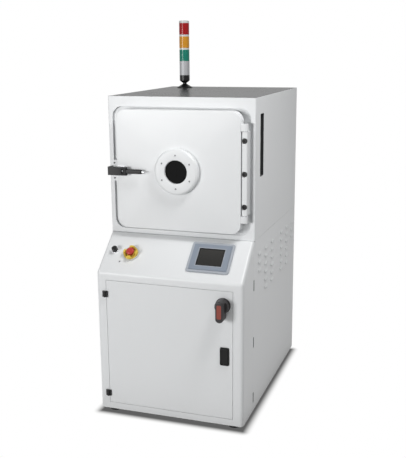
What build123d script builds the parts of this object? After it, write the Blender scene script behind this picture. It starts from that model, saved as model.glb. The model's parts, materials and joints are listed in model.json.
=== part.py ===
from build123d import *
from math import atan2, cos, degrees, hypot, sin
import os

# Floor-standing plasma cleaner: a white sheet-metal cabinet with a vacuum chamber above,
# a sloped control console, a service door below and a tower light on the roof.
# The pieces are drawn about a datum at the middle of the upper front panel's outer face
# (Y = 0, +Y to the back), level with the cabinet's underside (Z = 0).
# They are written with the origin on the floor, under the centre of the whole machine.

# Cabinet
cabinet_width = 710.0
upper_depth = 850.0
console_depth = 190.0
lower_front_height = 678.0
ledge_height = 829.0
ledge_depth = 12.0
cabinet_height = 1472.0
ground_gap = 22.0
sheet = 2.0
seam = 0.8
base_plate_thickness = 5.0
post_width = 30.0
post_wall = 2.5
post_outer_x = 334.0
fit_gap = 0.3
running_gap = 0.05

# Lower front frame and its flush door
lower_door_width = 612.0
lower_door_bottom = 32.0
lower_door_top = 641.0
lower_door_gap = 1.5
lower_door_fold = 20.0
stop_lip_width = 15.0
stop_lip_gap = 3.0
front_corner_radius = 18.0
lower_bend_radius = 22.0
upper_bend_radius = 9.0
bezel_side_depth = 165.0

# Flush-door hinges
hinge_half_width = 12.5
hinge_height = 29.0
hinge_knuckle_radius = 6.0
hinge_axis_from_front = 7.0
hinge_pin_radius = 2.0
hinge_heights = (80.5, 575.5)

# Louvres in the lower side panels
louvre_length = 55.0
louvre_height = 15.0
louvre_proud = 5.0
louvre_wall = 1.2
louvre_pitch_y = 124.0
louvre_pitch_z = 39.3
louvre_top_z = 755.0
louvre_group_centres_y = (207.0, 657.0)
louvre_rows = 6
louvre_outer_rows = 3
hook_slot_height = 52.0
hook_slot_width = 12.0
hook_slot_centres_z = (67.0, 345.0, 622.0)

# Finger pulls in the upper side panels
pull_width = 60.0
pull_bottom = 1112.0
pull_top = 1397.0
pull_centre_y = 110.5
pull_depth = 30.0
pull_wall = 2.0

# Chamber, its flange and the opening in the upper front panel
chamber_centre_z = 1140.0
cavity_width = 480.0
cavity_height = 450.0
chamber_wall = 20.0
chamber_inner_depth = 488.0
flange_front_y = 12.0
flange_thickness = 22.0
flange_width = 688.0
flange_height = 588.0
panel_opening_width = 668.0
panel_opening_height = 575.0
panel_opening_radius = 48.0
panel_notch_reach = 9.0
panel_notch_height = 452.0
opening_lip_depth = 9.0
seal_radius = 4.0
seal_margin = 15.0
seal_proud = 0.7

# Chamber door
door_width = 598.0
door_height = 552.0
door_corner_radius = 46.0
door_proud = 43.0
door_skin = 3.0
door_seat_gap = 1.0
door_plate_thickness = 33.0
door_plate_margin = 14.0
door_cover_back_y = 6.0
door_swing_radius_x = 16.5
door_axis_y = -29.0
viewport_bore_radius = 54.0
viewport_glass_radius = 68.0
viewport_glass_thickness = 12.0
viewport_flange_radius = 106.0
viewport_flange_height = 25.0
viewport_rim_radius = 13.0

# Chamber door hinge
ear_radius = 14.0
ear_height = 32.0
ear_inner_z = 190.0
washer_thickness = 2.0
block_width = 26.0
block_front_radius = 6.0
pin_radius = 6.0
pin_block_depth = 25.0

# Toggle latch on the chamber door
latch_centre_z = 1134.0
latch_plate_length = 50.0
latch_plate_height = 42.0
latch_plate_thickness = 4.0
latch_pivot_x = -262.0
latch_pivot_y = -61.0
claw_pivot_dx = 14.0
claw_pivot_dy = -4.0
lever_height = 20.0
lever_thickness = 14.0
lever_end_x = -167.0
lever_lug_thickness = 7.4
claw_height = 38.0
claw_left_x = -333.0
latch_pin_radius = 3.0
keeper_width = 30.0
keeper_height = 97.0
keeper_front_y = -33.0
keeper_rib_width = 10.0
keeper_rib_reach = 15.0

# Process shelves inside the chamber
shelf_count = 3
shelf_pitch = 112.5
shelf_width = 410.0
shelf_depth = 430.0
shelf_thickness = 6.0
shelf_front_y = 40.0
rail_plate_thickness = 6.0
rail_ledge_width = 14.0
rail_ledge_thickness = 5.0

# Console controls, placed by x and by distance up the slope
screen_centre = (174.0, 126.0)
screen_size = (202.0, 162.0)
screen_glass_size = (122.0, 94.0)
screen_bezel_height = 9.0
screen_body_depth = 46.0
estop_centre = (-212.0, 114.0)
estop_travel = 5.0
estop_head_radius = 19.0
estop_guard_radius = 34.0
estop_ring_radius = 39.0
button_centre = (-297.0, 126.0)
button_travel = 4.0
button_head_radius = 13.5
button_bezel_radius = 15.5
control_bore_radius = 11.0

# Rotary disconnect on the lower door
disconnect_x = 262.0
disconnect_z = 576.0
disconnect_disc_radius = 35.0
disconnect_disc_thickness = 7.0
disconnect_bore_radius = 12.0
disconnect_proud = 65.0
handle_grip_width = 36.0
handle_grip_up = 36.0
handle_grip_down = 63.0
handle_insert_size = (21.0, 64.0)
shaft_side = 10.0
shaft_journal_radius = 7.0

# Paddle latch on the lower door
paddle_x = 268.5
paddle_z = 335.0
paddle_size = (43.0, 86.0)
paddle_frame = 5.0
paddle_proud = 5.0
paddle_cup_depth = 14.0
paddle_gap = 1.0
paddle_thickness = 4.0
paddle_pin_radius = 1.2
bolt_size = (10.0, 14.0)
bolt_travel = 10.0

# Tower light
tower_x = -243.0
tower_y = 741.0
tower_radius = 27.0
tower_base_radius = 41.0
tower_waist_radius = 10.0
tower_base_height = 26.0
tower_cup_height = 41.0
tower_body_height = 74.5
tower_lens_height = 59.6
tower_ring_height = 10.0
tower_cap_height = 13.0

# Rear services
pump_port_z = 360.0
pump_pipe_radius = 25.0
pump_bore_radius = 20.5
pump_flange_radius = 37.5
rear_proud = 34.0
gas_tube_radius = 3.175
gas_socket_radius = 3.25
gas_socket_depth = 14.0
gas_inlet = (-285.0, 850.0)
fan_centre = (-180.0, 220.0)
fan_size = 120.0
fan_depth = 38.0
fan_bore_radius = 57.0

# Worked-out places
half_width = cabinet_width / 2
front_y = -console_depth
slope_angle = atan2(ledge_height - lower_front_height, console_depth - ledge_depth)
slope_length = hypot(ledge_height - lower_front_height, console_depth - ledge_depth)
bezel_back_y = front_y + bezel_side_depth
side_drop = (front_corner_radius + sheet) / cos(slope_angle)
side_front_y = bezel_back_y + seam
door_front_y = -door_proud
door_back_y = flange_front_y - door_seat_gap
door_axis_x = door_width / 2 + door_swing_radius_x
lower_axis_x = -(lower_door_width / 2 + 5.0)
lower_axis_y = front_y - hinge_axis_from_front
chamber_back_y = flange_front_y + chamber_inner_depth + chamber_wall
post_front_y = flange_front_y + flange_thickness
latch_surface_y = door_front_y - latch_plate_thickness
claw_pivot_x = latch_pivot_x + claw_pivot_dx
claw_pivot_y = latch_pivot_y + claw_pivot_dy
screen_top = ledge_height + seam
pipe_y = chamber_back_y + 120.0
front_most = front_y - disconnect_proud
back_most = upper_depth + rear_proud
datum_y = -(front_most + back_most) / 2
to_floor_centre = Pos(0, datum_y, ground_gap)
console = Plane(
    origin=(0, front_y, lower_front_height),
    x_dir=(1, 0, 0),
    z_dir=(0, -sin(slope_angle), cos(slope_angle)),
)


def slab(x, y, z):
    """A block between the two ends given for each axis."""
    size = (x[1] - x[0], y[1] - y[0], z[1] - z[0])
    return Pos((x[0] + x[1]) / 2, (y[0] + y[1]) / 2, (z[0] + z[1]) / 2) * Box(*size)


def plate_xz(outline, y, x=0.0, z=0.0):
    """A flat outline, seen from the front, made solid between two depths."""
    back = Plane((x, y[1], z), x_dir=(1, 0, 0), z_dir=(0, -1, 0))
    return extrude(back * outline, amount=y[1] - y[0])


def profile_x(points, x):
    """A side profile of (y, z) points, made solid between two widths."""
    side = Plane((x[0], 0, 0), x_dir=(0, 1, 0), z_dir=(1, 0, 0))
    return extrude(side * make_face(Polyline(*points, close=True)), amount=x[1] - x[0])


def plan_z(outline, z, x=0.0, y=0.0):
    """A plan outline made solid between two heights."""
    return extrude(Pos(x, y, z[0]) * outline, amount=z[1] - z[0])


def rod_y(radius, y, x, z):
    return plate_xz(Circle(radius), y, x, z)


def rod_z(radius, z, x, y):
    return plan_z(Circle(radius), z, x, y)


def mirrored(solid):
    return mirror(solid, about=Plane.YZ)


def slope_z(y):
    """Height of the console's straight slope at a depth."""
    return lower_front_height + (y - front_y) * sin(slope_angle) / cos(slope_angle)


def on_console(place, solid, height=0.0):
    return console * Pos(place[0], place[1], height) * solid


# Cabinet structure

def base_pan():
    """Floor plate that everything in the cabinet stands on."""
    reach = half_width - sheet - fit_gap
    y = (front_y + sheet + fit_gap, upper_depth - sheet - fit_gap)
    pan = slab((-reach, reach), y, (0, base_plate_thickness))
    front_corners = pan.edges().filter_by(Axis.Z).filter_by(lambda e: e.center().Y < y[0] + 1)
    return fillet(front_corners, front_corner_radius - sheet - fit_gap)


def levelling_feet():
    """Four screw feet: a rubber-faced pad, a stud and its lock nut."""
    feet = []
    for x in (-300.0, 300.0):
        for y in (front_y + 50.0, upper_depth - 60.0):
            pad = Pos(x, y, -ground_gap) * Cone(26, 20, 9, align=(Align.CENTER, Align.CENTER, Align.MIN))
            stud = rod_z(6, (-ground_gap + 5, 0), x, y)
            nut = Pos(x, y, -7) * extrude(RegularPolygon(10, 6), amount=6)
            feet.append(pad + stud + nut)
    return feet


def post(x, y_front, top):
    """Square tube standing on the floor plate."""
    tube = Rectangle(post_width, post_width) - Rectangle(
        post_width - 2 * post_wall, post_width - 2 * post_wall
    )
    return plan_z(tube, (base_plate_thickness, top), x, y_front + post_width / 2)


def cabinet_frame():
    """Posts, the chamber deck and the rear component plate."""
    inner = post_outer_x - post_width
    pieces = []
    for x in (-inner - post_width / 2, inner + post_width / 2):
        pieces.append(post(x, front_y + 30, lower_door_top + 15))
        pieces.append(post(x, post_front_y, cabinet_height - 22))
        pieces.append(post(x, upper_depth - 34, cabinet_height - 22))
    deck_x = inner - fit_gap
    pieces.append(
        slab((-deck_x, deck_x), (post_front_y + 2, pipe_y - 50), (ledge_height - 6, ledge_height))
    )
    plate_y = (pipe_y - 100, pipe_y - 97)
    pieces.append(slab((-deck_x, deck_x), plate_y, (base_plate_thickness, ledge_height - 6)))
    return pieces


def front_bezel():
    """Lower front frame, the sloped console and both returns as one folded sheet."""
    outer_points = [
        (front_y, 0),
        (front_y, lower_front_height),
        (-ledge_depth, ledge_height),
        (sheet, ledge_height),
        (sheet, 0),
    ]
    outer = profile_x(outer_points, (-half_width, half_width))
    bend = outer.edges().filter_by(Axis.X).filter_by(
        lambda e: abs(e.center().Z - lower_front_height) < 1
    )
    outer = fillet(bend, lower_bend_radius)
    front_edges = outer.edges().filter_by(
        lambda e: abs(abs(e.center().X) - half_width) < 0.1
        and e.center().Y < -ledge_depth
        and e.center().Z > 1
    )
    outer = fillet(front_edges, front_corner_radius)
    open_faces = [f for f in outer.faces() if f.center().Z < 0.1 or f.center().Y > sheet - 0.1]
    shell = offset(outer, amount=-sheet, openings=open_faces)
    side_cut = [
        (bezel_back_y, -1),
        (bezel_back_y, slope_z(bezel_back_y) - side_drop),
        (-ledge_depth, ledge_height - side_drop),
        (sheet + 1, ledge_height - side_drop),
        (sheet + 1, -1),
    ]
    shell -= profile_x(side_cut, (-half_width - 1, half_width + 1))
    return shell


def bezel_with_openings():
    bezel = front_bezel()
    middle_z = (lower_door_bottom + lower_door_top) / 2
    opening = (
        lower_door_width + 2 * lower_door_gap, lower_door_top - lower_door_bottom + 2 * lower_door_gap
    )
    lip_back_y = front_y + lower_door_fold + stop_lip_gap
    wall = Rectangle(opening[0] + 2 * sheet, opening[1] + 2 * sheet) - Rectangle(*opening)
    stop = Rectangle(opening[0] + 2 * sheet, opening[1] + 2 * sheet)
    stop -= Rectangle(opening[0] - 2 * stop_lip_width, opening[1] - 2 * stop_lip_width)
    bezel -= plate_xz(Rectangle(*opening), (front_y - 1, front_y + sheet + 1), z=middle_z)
    bezel += plate_xz(wall, (front_y + 1, lip_back_y), z=middle_z)
    bezel += plate_xz(stop, (lip_back_y, lip_back_y + sheet), z=middle_z)
    hole_w = screen_size[0] - 14
    hole_h = screen_size[1] - 14
    bezel -= on_console(screen_centre, Box(hole_w, hole_h, 30))
    for place in (estop_centre, button_centre):
        bezel -= on_console(place, Cylinder(control_bore_radius, 30))
    return bezel


def louvre_hood():
    """One pressed hood on the +X face: sloping top and ends, open below."""
    taper = 5.0
    base = Plane((half_width - 0.1, 0, 0), x_dir=(0, 1, 0), z_dir=(1, 0, 0))
    tip = Plane((half_width + louvre_proud, 0, 0), x_dir=(0, 1, 0), z_dir=(1, 0, 0))
    low = -louvre_height / 2
    outer_base = base * Pos(0, 0) * Rectangle(louvre_length, louvre_height)
    outer_tip = tip * Pos(0, low + 1.5) * Rectangle(louvre_length - 2 * taper, 3)
    outer = loft([outer_base, outer_tip])
    inner_base = base.offset(-0.5) * Pos(0, -louvre_wall * 1.5) * Rectangle(
        louvre_length - 2 * louvre_wall, louvre_height
    )
    inner_tip = tip.offset(-louvre_wall) * Pos(0, low) * Rectangle(
        louvre_length - 2 * taper - 2 * louvre_wall, 3
    )
    return outer - loft([inner_base, inner_tip])


def louvre_places():
    """Centre (y, z) of every louvre on one side; the outermost columns are short."""
    places = []
    for group, centre_y in enumerate(louvre_group_centres_y):
        for column in (-1, 0, 1):
            outermost = (group == 0 and column == -1) or (group == 1 and column == 1)
            rows = louvre_outer_rows if outermost else louvre_rows
            for row in range(rows):
                places.append((centre_y + column * louvre_pitch_y, louvre_top_z - row * louvre_pitch_z))
    return places


def side_panel_lower():
    """Lower right side panel: louvred sheet with folded edges and hook slots."""
    top_front = slope_z(side_front_y) - side_drop - seam
    step_z = ledge_height - side_drop - seam
    points = [
        (side_front_y, 0),
        (side_front_y, top_front),
        (-ledge_depth, step_z),
        (sheet + seam, step_z),
        (sheet + seam, ledge_height),
        (upper_depth, ledge_height),
        (upper_depth, 0),
    ]
    skin_x = (half_width - sheet, half_width)
    lip_x = (half_width - front_corner_radius, half_width - sheet + 0.1)
    panel = profile_x(points, skin_x)
    clear_of_base = base_plate_thickness + 3
    panel += slab(lip_x, (side_front_y, side_front_y + sheet), (clear_of_base, top_front - 6))
    panel += slab(lip_x, (upper_depth - sheet, upper_depth), (clear_of_base, ledge_height))
    panel += slab(lip_x, (sheet + seam + 30, upper_depth), (ledge_height - sheet, ledge_height))
    for z in hook_slot_centres_z:
        centre_y = side_front_y + 7 + hook_slot_width / 2
        half = hook_slot_width / 2
        panel -= slab((half_width - 5, half_width + 1), (centre_y - half, centre_y + half),
                      (z - hook_slot_height / 2, z + hook_slot_height / 2))
    hood = louvre_hood()
    slot_x = (half_width - sheet - 1, half_width + 1)
    slot_y = louvre_length / 2 - louvre_wall
    low = -louvre_height / 2
    slots = [
        slab(slot_x, (y - slot_y, y + slot_y), (z + low, z - low - 3 * louvre_wall))
        for y, z in louvre_places()
    ]
    panel -= slots
    panel += [Pos(0, y, z) * hood for y, z in louvre_places()]
    return panel


def side_panel_upper():
    """Upper right side panel with the tall slot for the finger pull."""
    front = opening_lip_depth + 5 + seam
    z = (ledge_height + seam, cabinet_height)
    panel = slab((half_width - sheet, half_width), (front, upper_depth), z)
    lip_x = (half_width - front_corner_radius, half_width - sheet + 0.1)
    panel += slab(lip_x, (upper_depth - sheet, upper_depth), z)
    panel += slab(lip_x, (front + 40, upper_depth), (z[0], z[0] + sheet))
    half = pull_width / 2
    side = Plane(
        (half_width - sheet - 1, pull_centre_y, (pull_bottom + pull_top) / 2), x_dir=(0, 1, 0),
        z_dir=(1, 0, 0),
    )
    slot = side * RectangleRounded(2 * half, pull_top - pull_bottom, 6)
    return panel - extrude(slot, amount=sheet + 2)


def side_pull_pocket():
    """Moulded pocket behind the slot, open to the outside."""
    height = pull_top - pull_bottom
    centre = (half_width - sheet - pull_depth, pull_centre_y, (pull_bottom + pull_top) / 2)
    back = Plane(centre, x_dir=(0, 1, 0), z_dir=(1, 0, 0))
    body = extrude(
        back * RectangleRounded(pull_width - 2 * fit_gap, height - 2 * fit_gap, 5.5),
        amount=pull_depth + sheet,
    )
    rim = extrude(
        back.offset(pull_depth - 3) * RectangleRounded(pull_width + 10, height + 10, 8),
        amount=3 - fit_gap,
    )
    room = extrude(
        back.offset(pull_wall) * RectangleRounded(pull_width - 2 * pull_wall, height - 2 * pull_wall, 4),
        amount=pull_depth + sheet,
    )
    return body + rim - room


def upper_front_panel():
    """Upper front sheet with the rounded chamber opening, the hinge notch and an inward lip."""
    middle_z = (ledge_height + seam + cabinet_height) / 2
    height = cabinet_height - ledge_height - seam
    back_y = opening_lip_depth + 5
    block = plate_xz(Rectangle(cabinet_width, height), (0, back_y), z=middle_z)
    corners = block.edges().filter_by(Axis.Z).filter_by(lambda e: e.center().Y < 0.1)
    block = fillet(corners, 5)
    block -= plate_xz(Rectangle(cabinet_width - 2 * sheet, height + 2), (sheet, back_y + 1), z=middle_z)
    opening = RectangleRounded(panel_opening_width, panel_opening_height, panel_opening_radius)
    notch_x = panel_opening_width / 2
    opening += Pos(notch_x, 0) * Rectangle(2 * panel_notch_reach, panel_notch_height)
    lip = offset(opening, amount=sheet) - opening
    block -= plate_xz(opening, (-1, sheet + 1), z=chamber_centre_z - 2)
    block += plate_xz(lip, (1, opening_lip_depth), z=chamber_centre_z - 2)
    return block


def top_panel():
    """Roof pan with folded-down edges, set flush between the wall panels."""
    x = half_width - sheet - 0.5
    y = (sheet + 0.5, upper_depth - sheet - 0.5)
    pan = slab((-x, x), y, (cabinet_height - 18, cabinet_height))
    pan -= slab(
        (-x + sheet, x - sheet), (y[0] + sheet, y[1] - sheet),
        (cabinet_height - 19, cabinet_height - sheet),
    )
    return pan


def rear_panel_upper():
    x = half_width - front_corner_radius - seam
    panel = slab((-x, x), (upper_depth - sheet, upper_depth), (ledge_height + seam, cabinet_height))
    panel -= rod_y(8.5, (upper_depth - sheet - 1, upper_depth + 1), *gas_inlet)
    vents = [Pos(column * 70, upper_depth - sheet / 2, 1380 - row * 18) * Box(50, sheet + 2, 6)
             for column in (-2, -1, 0, 1, 2) for row in range(3)]
    return panel - vents


def rear_panel_lower():
    """Lower rear sheet with the pump port, the fan window and the supply inlet."""
    x = half_width - front_corner_radius - seam
    panel = slab((-x, x), (upper_depth - sheet, upper_depth), (base_plate_thickness, ledge_height))
    cut_y = (upper_depth - sheet - 1, upper_depth + 1)
    panel -= rod_y(pump_pipe_radius + 1, cut_y, 0, pump_port_z)
    panel -= rod_y(fan_bore_radius, cut_y, *fan_centre)
    panel -= rod_y(10.3, cut_y, 240, 120)
    return panel


# Chamber

def vacuum_chamber():
    """Box of welded plates with a thick front flange, a seal groove, a pump port and two feet."""
    z = (chamber_centre_z - cavity_height / 2, chamber_centre_z + cavity_height / 2)
    half = cavity_width / 2
    y = (post_front_y, chamber_back_y)
    flange = plate_xz(
        RectangleRounded(flange_width, flange_height, panel_opening_radius + 4),
        (flange_front_y, y[0]), z=chamber_centre_z,
    )
    flange -= slab((-half, half), (flange_front_y - 1, y[0] + 1), z)
    flange -= plate_xz(
        seal_ring_outline(seal_radius + fit_gap),
        (flange_front_y - 1, flange_front_y + 2 * seal_radius - seal_proud), z=chamber_centre_z,
    )
    back = slab((-half, half), (y[1] - chamber_wall, y[1]), z)
    back -= rod_y(pump_bore_radius, (y[1] - chamber_wall - 1, y[1] + 1), 0, z[0] + 60)
    side = slab((half, half + chamber_wall), y, z)
    across = (-half - chamber_wall, half + chamber_wall)
    plates = [flange, back, side, mirrored(side)]
    plates.append(slab(across, y, (z[0] - chamber_wall, z[0])))
    plates.append(slab(across, y, (z[1], z[1] + chamber_wall)))
    for x in (-150.0, 150.0):
        plates.append(slab((x - 25, x + 25), (y[0] + 38, y[1] - 20), (ledge_height, z[0] - chamber_wall)))
    return plates


def seal_ring_outline(half_band):
    """Rounded rectangular band that the door seal and its groove follow."""
    width = cavity_width + 2 * seal_margin + 2 * seal_radius
    height = cavity_height + 2 * seal_margin + 2 * seal_radius
    middle = RectangleRounded(width, height, 30)
    return offset(middle, amount=half_band) - offset(middle, amount=-half_band)


def door_seal():
    """Elastomer cord seal, standing a little proud of the flange."""
    front = flange_front_y - seal_proud
    back = flange_front_y + 2 * seal_radius - seal_proud - 0.1
    ring = plate_xz(seal_ring_outline(seal_radius), (front, back), z=chamber_centre_z)
    front_edges = ring.edges().filter_by(lambda e: abs(e.center().Y - front) < 0.01)
    return fillet(front_edges, seal_radius * 0.6)


def shelf_heights():
    middle = (shelf_count - 1) / 2
    return [chamber_centre_z + (k - middle) * shelf_pitch for k in range(shelf_count)]


def electrode_rails():
    """Side racks with a ledge below each shelf, standing on the chamber floor."""
    floor_z = chamber_centre_z - cavity_height / 2
    y = (shelf_front_y + 10, shelf_front_y + shelf_depth - 10)
    plate_x = (shelf_width / 2 + fit_gap, shelf_width / 2 + fit_gap + rail_plate_thickness)
    ledge_x = (shelf_width / 2 - rail_ledge_width, plate_x[1])
    rail = slab(plate_x, y, (floor_z + 12, floor_z + cavity_height - 14))
    for z in shelf_heights():
        top = z - shelf_thickness / 2
        rail += slab(ledge_x, y, (top - rail_ledge_thickness, top))
    for end in (y[0] + 20, y[1] - 20):
        rail += rod_z(7, (floor_z, floor_z + 13), (plate_x[0] + plate_x[1]) / 2, end)
    return [rail, mirrored(rail)]


def shelf_electrodes():
    """Flat shelf electrodes with a rolled front edge and rows of gas slots."""
    shelves = []
    y = (shelf_front_y, shelf_front_y + shelf_depth)
    for z in shelf_heights():
        low = z - shelf_thickness / 2
        shelf = slab((-shelf_width / 2, shelf_width / 2), y, (low, low + shelf_thickness))
        slots = [Pos(x, y[0] + 70 + row * 97, z) * Box(48, 10, shelf_thickness + 2)
                 for x in (-120, -40, 40, 120) for row in range(4)]
        shelves.append(shelf - slots)
    return shelves


# Chamber door

def door_cover():
    """Deep white pan that forms the door's face and sides."""
    body = plate_xz(
        RectangleRounded(door_width, door_height, door_corner_radius), (door_front_y, door_cover_back_y),
        z=chamber_centre_z,
    )
    rim = body.edges().filter_by(lambda e: abs(e.center().Y - door_front_y) < 0.01)
    body = fillet(rim, 2.5)
    room = RectangleRounded(
        door_width - 2 * door_skin, door_height - 2 * door_skin, door_corner_radius - door_skin
    )
    body -= plate_xz(room, (door_front_y + door_skin, door_cover_back_y + 1), z=chamber_centre_z)
    return body - rod_y(viewport_bore_radius, (door_front_y - 1, door_front_y + 5), 0, chamber_centre_z)


def door_plate():
    """Thick inner plate that closes the chamber, with the viewport hub and corner bosses."""
    width = door_width - 2 * door_plate_margin
    height = door_height - 2 * door_plate_margin
    front = door_back_y - door_plate_thickness
    plate = plate_xz(
        RectangleRounded(width, height, door_corner_radius - door_plate_margin), (front, door_back_y),
        z=chamber_centre_z,
    )
    hub_front = door_front_y + door_skin
    plate += rod_y(80, (hub_front, front + 1), 0, chamber_centre_z)
    for x in (-width / 2 + 40, width / 2 - 40):
        for z in (-height / 2 + 40, height / 2 - 40):
            plate += rod_y(12, (hub_front, front + 1), x, chamber_centre_z + z)
    return plate - rod_y(viewport_bore_radius, (hub_front - 1, door_back_y + 1), 0, chamber_centre_z)


def door_hinge_ears():
    """Upper and lower ears on the door's right edge, bored for the hinge pins."""
    reach = door_swing_radius_x
    outline = Circle(ear_radius) + Pos(-reach / 2, 0) * Rectangle(reach, 2 * ear_radius)
    outline -= Circle(pin_radius + running_gap)
    low = chamber_centre_z - ear_inner_z - ear_height
    high = chamber_centre_z + ear_inner_z
    return [plan_z(outline, (z, z + ear_height), door_axis_x, door_axis_y) for z in (low, high)]


def hinge_block():
    """Fixed hinge bar, bolted to the flange, with a blind bore in each end."""
    half = ear_inner_z - washer_thickness - 2 * fit_gap
    front = door_axis_y - block_width / 2
    depth = flange_front_y - front
    outline = Pos(0, depth / 2 - block_width / 2) * Rectangle(block_width, depth)
    outline = fillet(outline.vertices().filter_by(lambda v: v.Y < 0), block_front_radius)
    block = plan_z(outline, (chamber_centre_z - half, chamber_centre_z + half), door_axis_x, door_axis_y)
    for end in (-1, 1):
        z = sorted(
            (chamber_centre_z + end * (half + 1), chamber_centre_z + end * (half - pin_block_depth))
        )
        block -= rod_z(pin_radius + running_gap, z, door_axis_x, door_axis_y)
    for height in (-148.0, 0.0, 148.0):
        block -= rod_y(6.5, (front - 1, flange_front_y + 1), door_axis_x, chamber_centre_z + height)
        block -= rod_y(13.2, (front - 1, front + 4), door_axis_x, chamber_centre_z + height)
    return block


def hinge_pins():
    """Stub pins with a thrust collar between the ear and the block."""
    pins = []
    half = ear_inner_z - washer_thickness - 2 * fit_gap
    for end in (-1, 1):
        inner = chamber_centre_z + end * (half - pin_block_depth + 1)
        outer = chamber_centre_z + end * (ear_inner_z + ear_height + 1)
        pin = rod_z(pin_radius, sorted((inner, outer)), door_axis_x, door_axis_y)
        collar = sorted(
            (chamber_centre_z + end * (half + fit_gap), chamber_centre_z + end * (ear_inner_z - fit_gap))
        )
        pins.append(pin + rod_z(ear_radius - 2, collar, door_axis_x, door_axis_y))
    return pins


def viewport_flange():
    """Raised round flange with a rolled rim, recessed behind for the glass."""
    height = viewport_flange_height
    rim = viewport_rim_radius
    outer = viewport_flange_radius
    bore = viewport_bore_radius
    outline = Polyline((bore, 0), (outer, 0), (outer, height), (bore, height), close=True)
    face = make_face(outline)
    corner = face.vertices().filter_by(lambda v: v.X > outer - 1 and v.Y > 1)
    face = fillet(corner, rim)
    inner_corner = face.vertices().filter_by(lambda v: v.X < bore + 1 and v.Y > 1)
    face = fillet(inner_corner, 3)
    ring = revolve(Plane.XZ * face, axis=Axis.Z)
    ring -= Cylinder(viewport_glass_radius + fit_gap, 2 * (viewport_glass_thickness + fit_gap))
    front = Plane((0, door_front_y, chamber_centre_z), x_dir=(1, 0, 0), z_dir=(0, -1, 0))
    return front * ring


def viewport_glass():
    return rod_y(
        viewport_glass_radius, (door_front_y - viewport_glass_thickness, door_front_y), 0,
        chamber_centre_z,
    )


# Toggle latch

def latch_base():
    """Steel plate on the door with one lug for the lever, tapered to the right."""
    half = latch_plate_height / 2
    x = (latch_pivot_x - 32, latch_pivot_x - 32 + latch_plate_length)
    outline = make_face(Polyline(
        (x[0], -half), (x[1] - 18, -half), (x[1], -half * 0.6),
        (x[1], half * 0.6), (x[1] - 18, half), (x[0], half), close=True,
    ))
    plate = plate_xz(outline, (latch_surface_y, door_front_y), z=latch_centre_z)
    lug_width = 16.0
    depth = latch_surface_y - latch_pivot_y
    lug = Circle(lug_width / 2) + Pos(0, depth / 2) * Rectangle(lug_width, depth + 0.1)
    lug_z = (latch_centre_z - lever_lug_thickness / 2, latch_centre_z + lever_lug_thickness / 2)
    base = plate + plan_z(lug, lug_z, latch_pivot_x, latch_pivot_y)
    return base - rod_z(
        latch_pin_radius + running_gap, (lug_z[0] - 1, lug_z[1] + 1), latch_pivot_x, latch_pivot_y
    )


def latch_lever():
    """Forked lever: straddles the lug, carries both pins and ends in a long grip."""
    half = lever_height / 2
    z = (latch_centre_z - half, latch_centre_z + half)
    boss = 9.0
    outline = make_hull(
        (Pos(0, 0) * Circle(boss)).edges() + (Pos(claw_pivot_dx, claw_pivot_dy) * Circle(boss)).edges()
    )
    body = plan_z(outline, z, latch_pivot_x, latch_pivot_y)
    grip_x = (latch_pivot_x + claw_pivot_dx, lever_end_x)
    length = grip_x[1] - grip_x[0]
    grip = slab(grip_x, (claw_pivot_y - lever_thickness / 2, claw_pivot_y + lever_thickness / 2), z)
    grip = fillet(grip.edges().filter_by(Axis.X), 4)
    end_edges = grip.faces().sort_by(Axis.X)[-1].edges()
    grip = fillet(end_edges, 3)
    waist = Pos(grip_x[0] + length * 0.32, claw_pivot_y + lever_thickness / 2 + 3, latch_centre_z) * Box(
        40, 8, 40
    )
    body += grip - waist
    slot_half = lever_lug_thickness / 2 + fit_gap
    slot_z = (latch_centre_z - slot_half, latch_centre_z + slot_half)
    body -= rod_z(10.5, slot_z, latch_pivot_x, latch_pivot_y)
    body -= slab((latch_pivot_x - 12, latch_pivot_x + 9), (latch_pivot_y, latch_pivot_y + 14), slot_z)
    body += rod_z(latch_pin_radius, z, latch_pivot_x, latch_pivot_y)
    claw_half = claw_height / 2
    claw_z = (latch_centre_z - claw_half, latch_centre_z + claw_half)
    return body + rod_z(latch_pin_radius, claw_z, claw_pivot_x, claw_pivot_y)


def latch_claw():
    """Forked claw that reaches from the lever across the door's edge to the keeper."""
    half = claw_height / 2
    z = (latch_centre_z - half, latch_centre_z + half)
    front = -78.0
    back = -56.0
    points = [
        (claw_pivot_x + 8, claw_pivot_y - 7), (latch_pivot_x - 20, front), (claw_left_x + 5, front),
        (claw_left_x, front + 5), (claw_left_x, keeper_front_y - 3), (
            claw_left_x + 12, keeper_front_y - 3
        ),
        (claw_left_x + 12, back), (latch_pivot_x - 34, back), (latch_pivot_x - 20, claw_pivot_y + 8),
        (claw_pivot_x + 8, claw_pivot_y + 7),
    ]
    claw = plan_z(make_face(Polyline(*points, close=True)), z)
    fork = lever_height / 2 + fit_gap
    fork_z = (latch_centre_z - fork, latch_centre_z + fork)
    claw -= slab((latch_pivot_x - 16, claw_pivot_x + 20), (front + 4, back + 20), fork_z)
    claw -= slab((latch_pivot_x - 2, claw_pivot_x + 20), (front - 2, back + 20), fork_z)
    return claw - rod_z(latch_pin_radius + running_gap, (z[0] - 1, z[1] + 1), claw_pivot_x, claw_pivot_y)


def latch_keeper():
    """Keeper block on the flange, in the gap left of the door, with a rib for the claw."""
    centre_x = -(door_width / 2 + 2 + keeper_width / 2)
    outline = RectangleRounded(keeper_width, keeper_height, 4)
    block = plate_xz(outline, (keeper_front_y, flange_front_y), centre_x, latch_centre_z - 3)
    rib_x = (claw_left_x + 14, claw_left_x + 14 + keeper_rib_width)
    rib_half = claw_height / 2 - 2
    rib = slab(
        rib_x, (keeper_front_y - keeper_rib_reach, keeper_front_y + 1),
        (latch_centre_z - rib_half, latch_centre_z + rib_half),
    )
    return block + rib


# Lower door and what it carries

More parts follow.
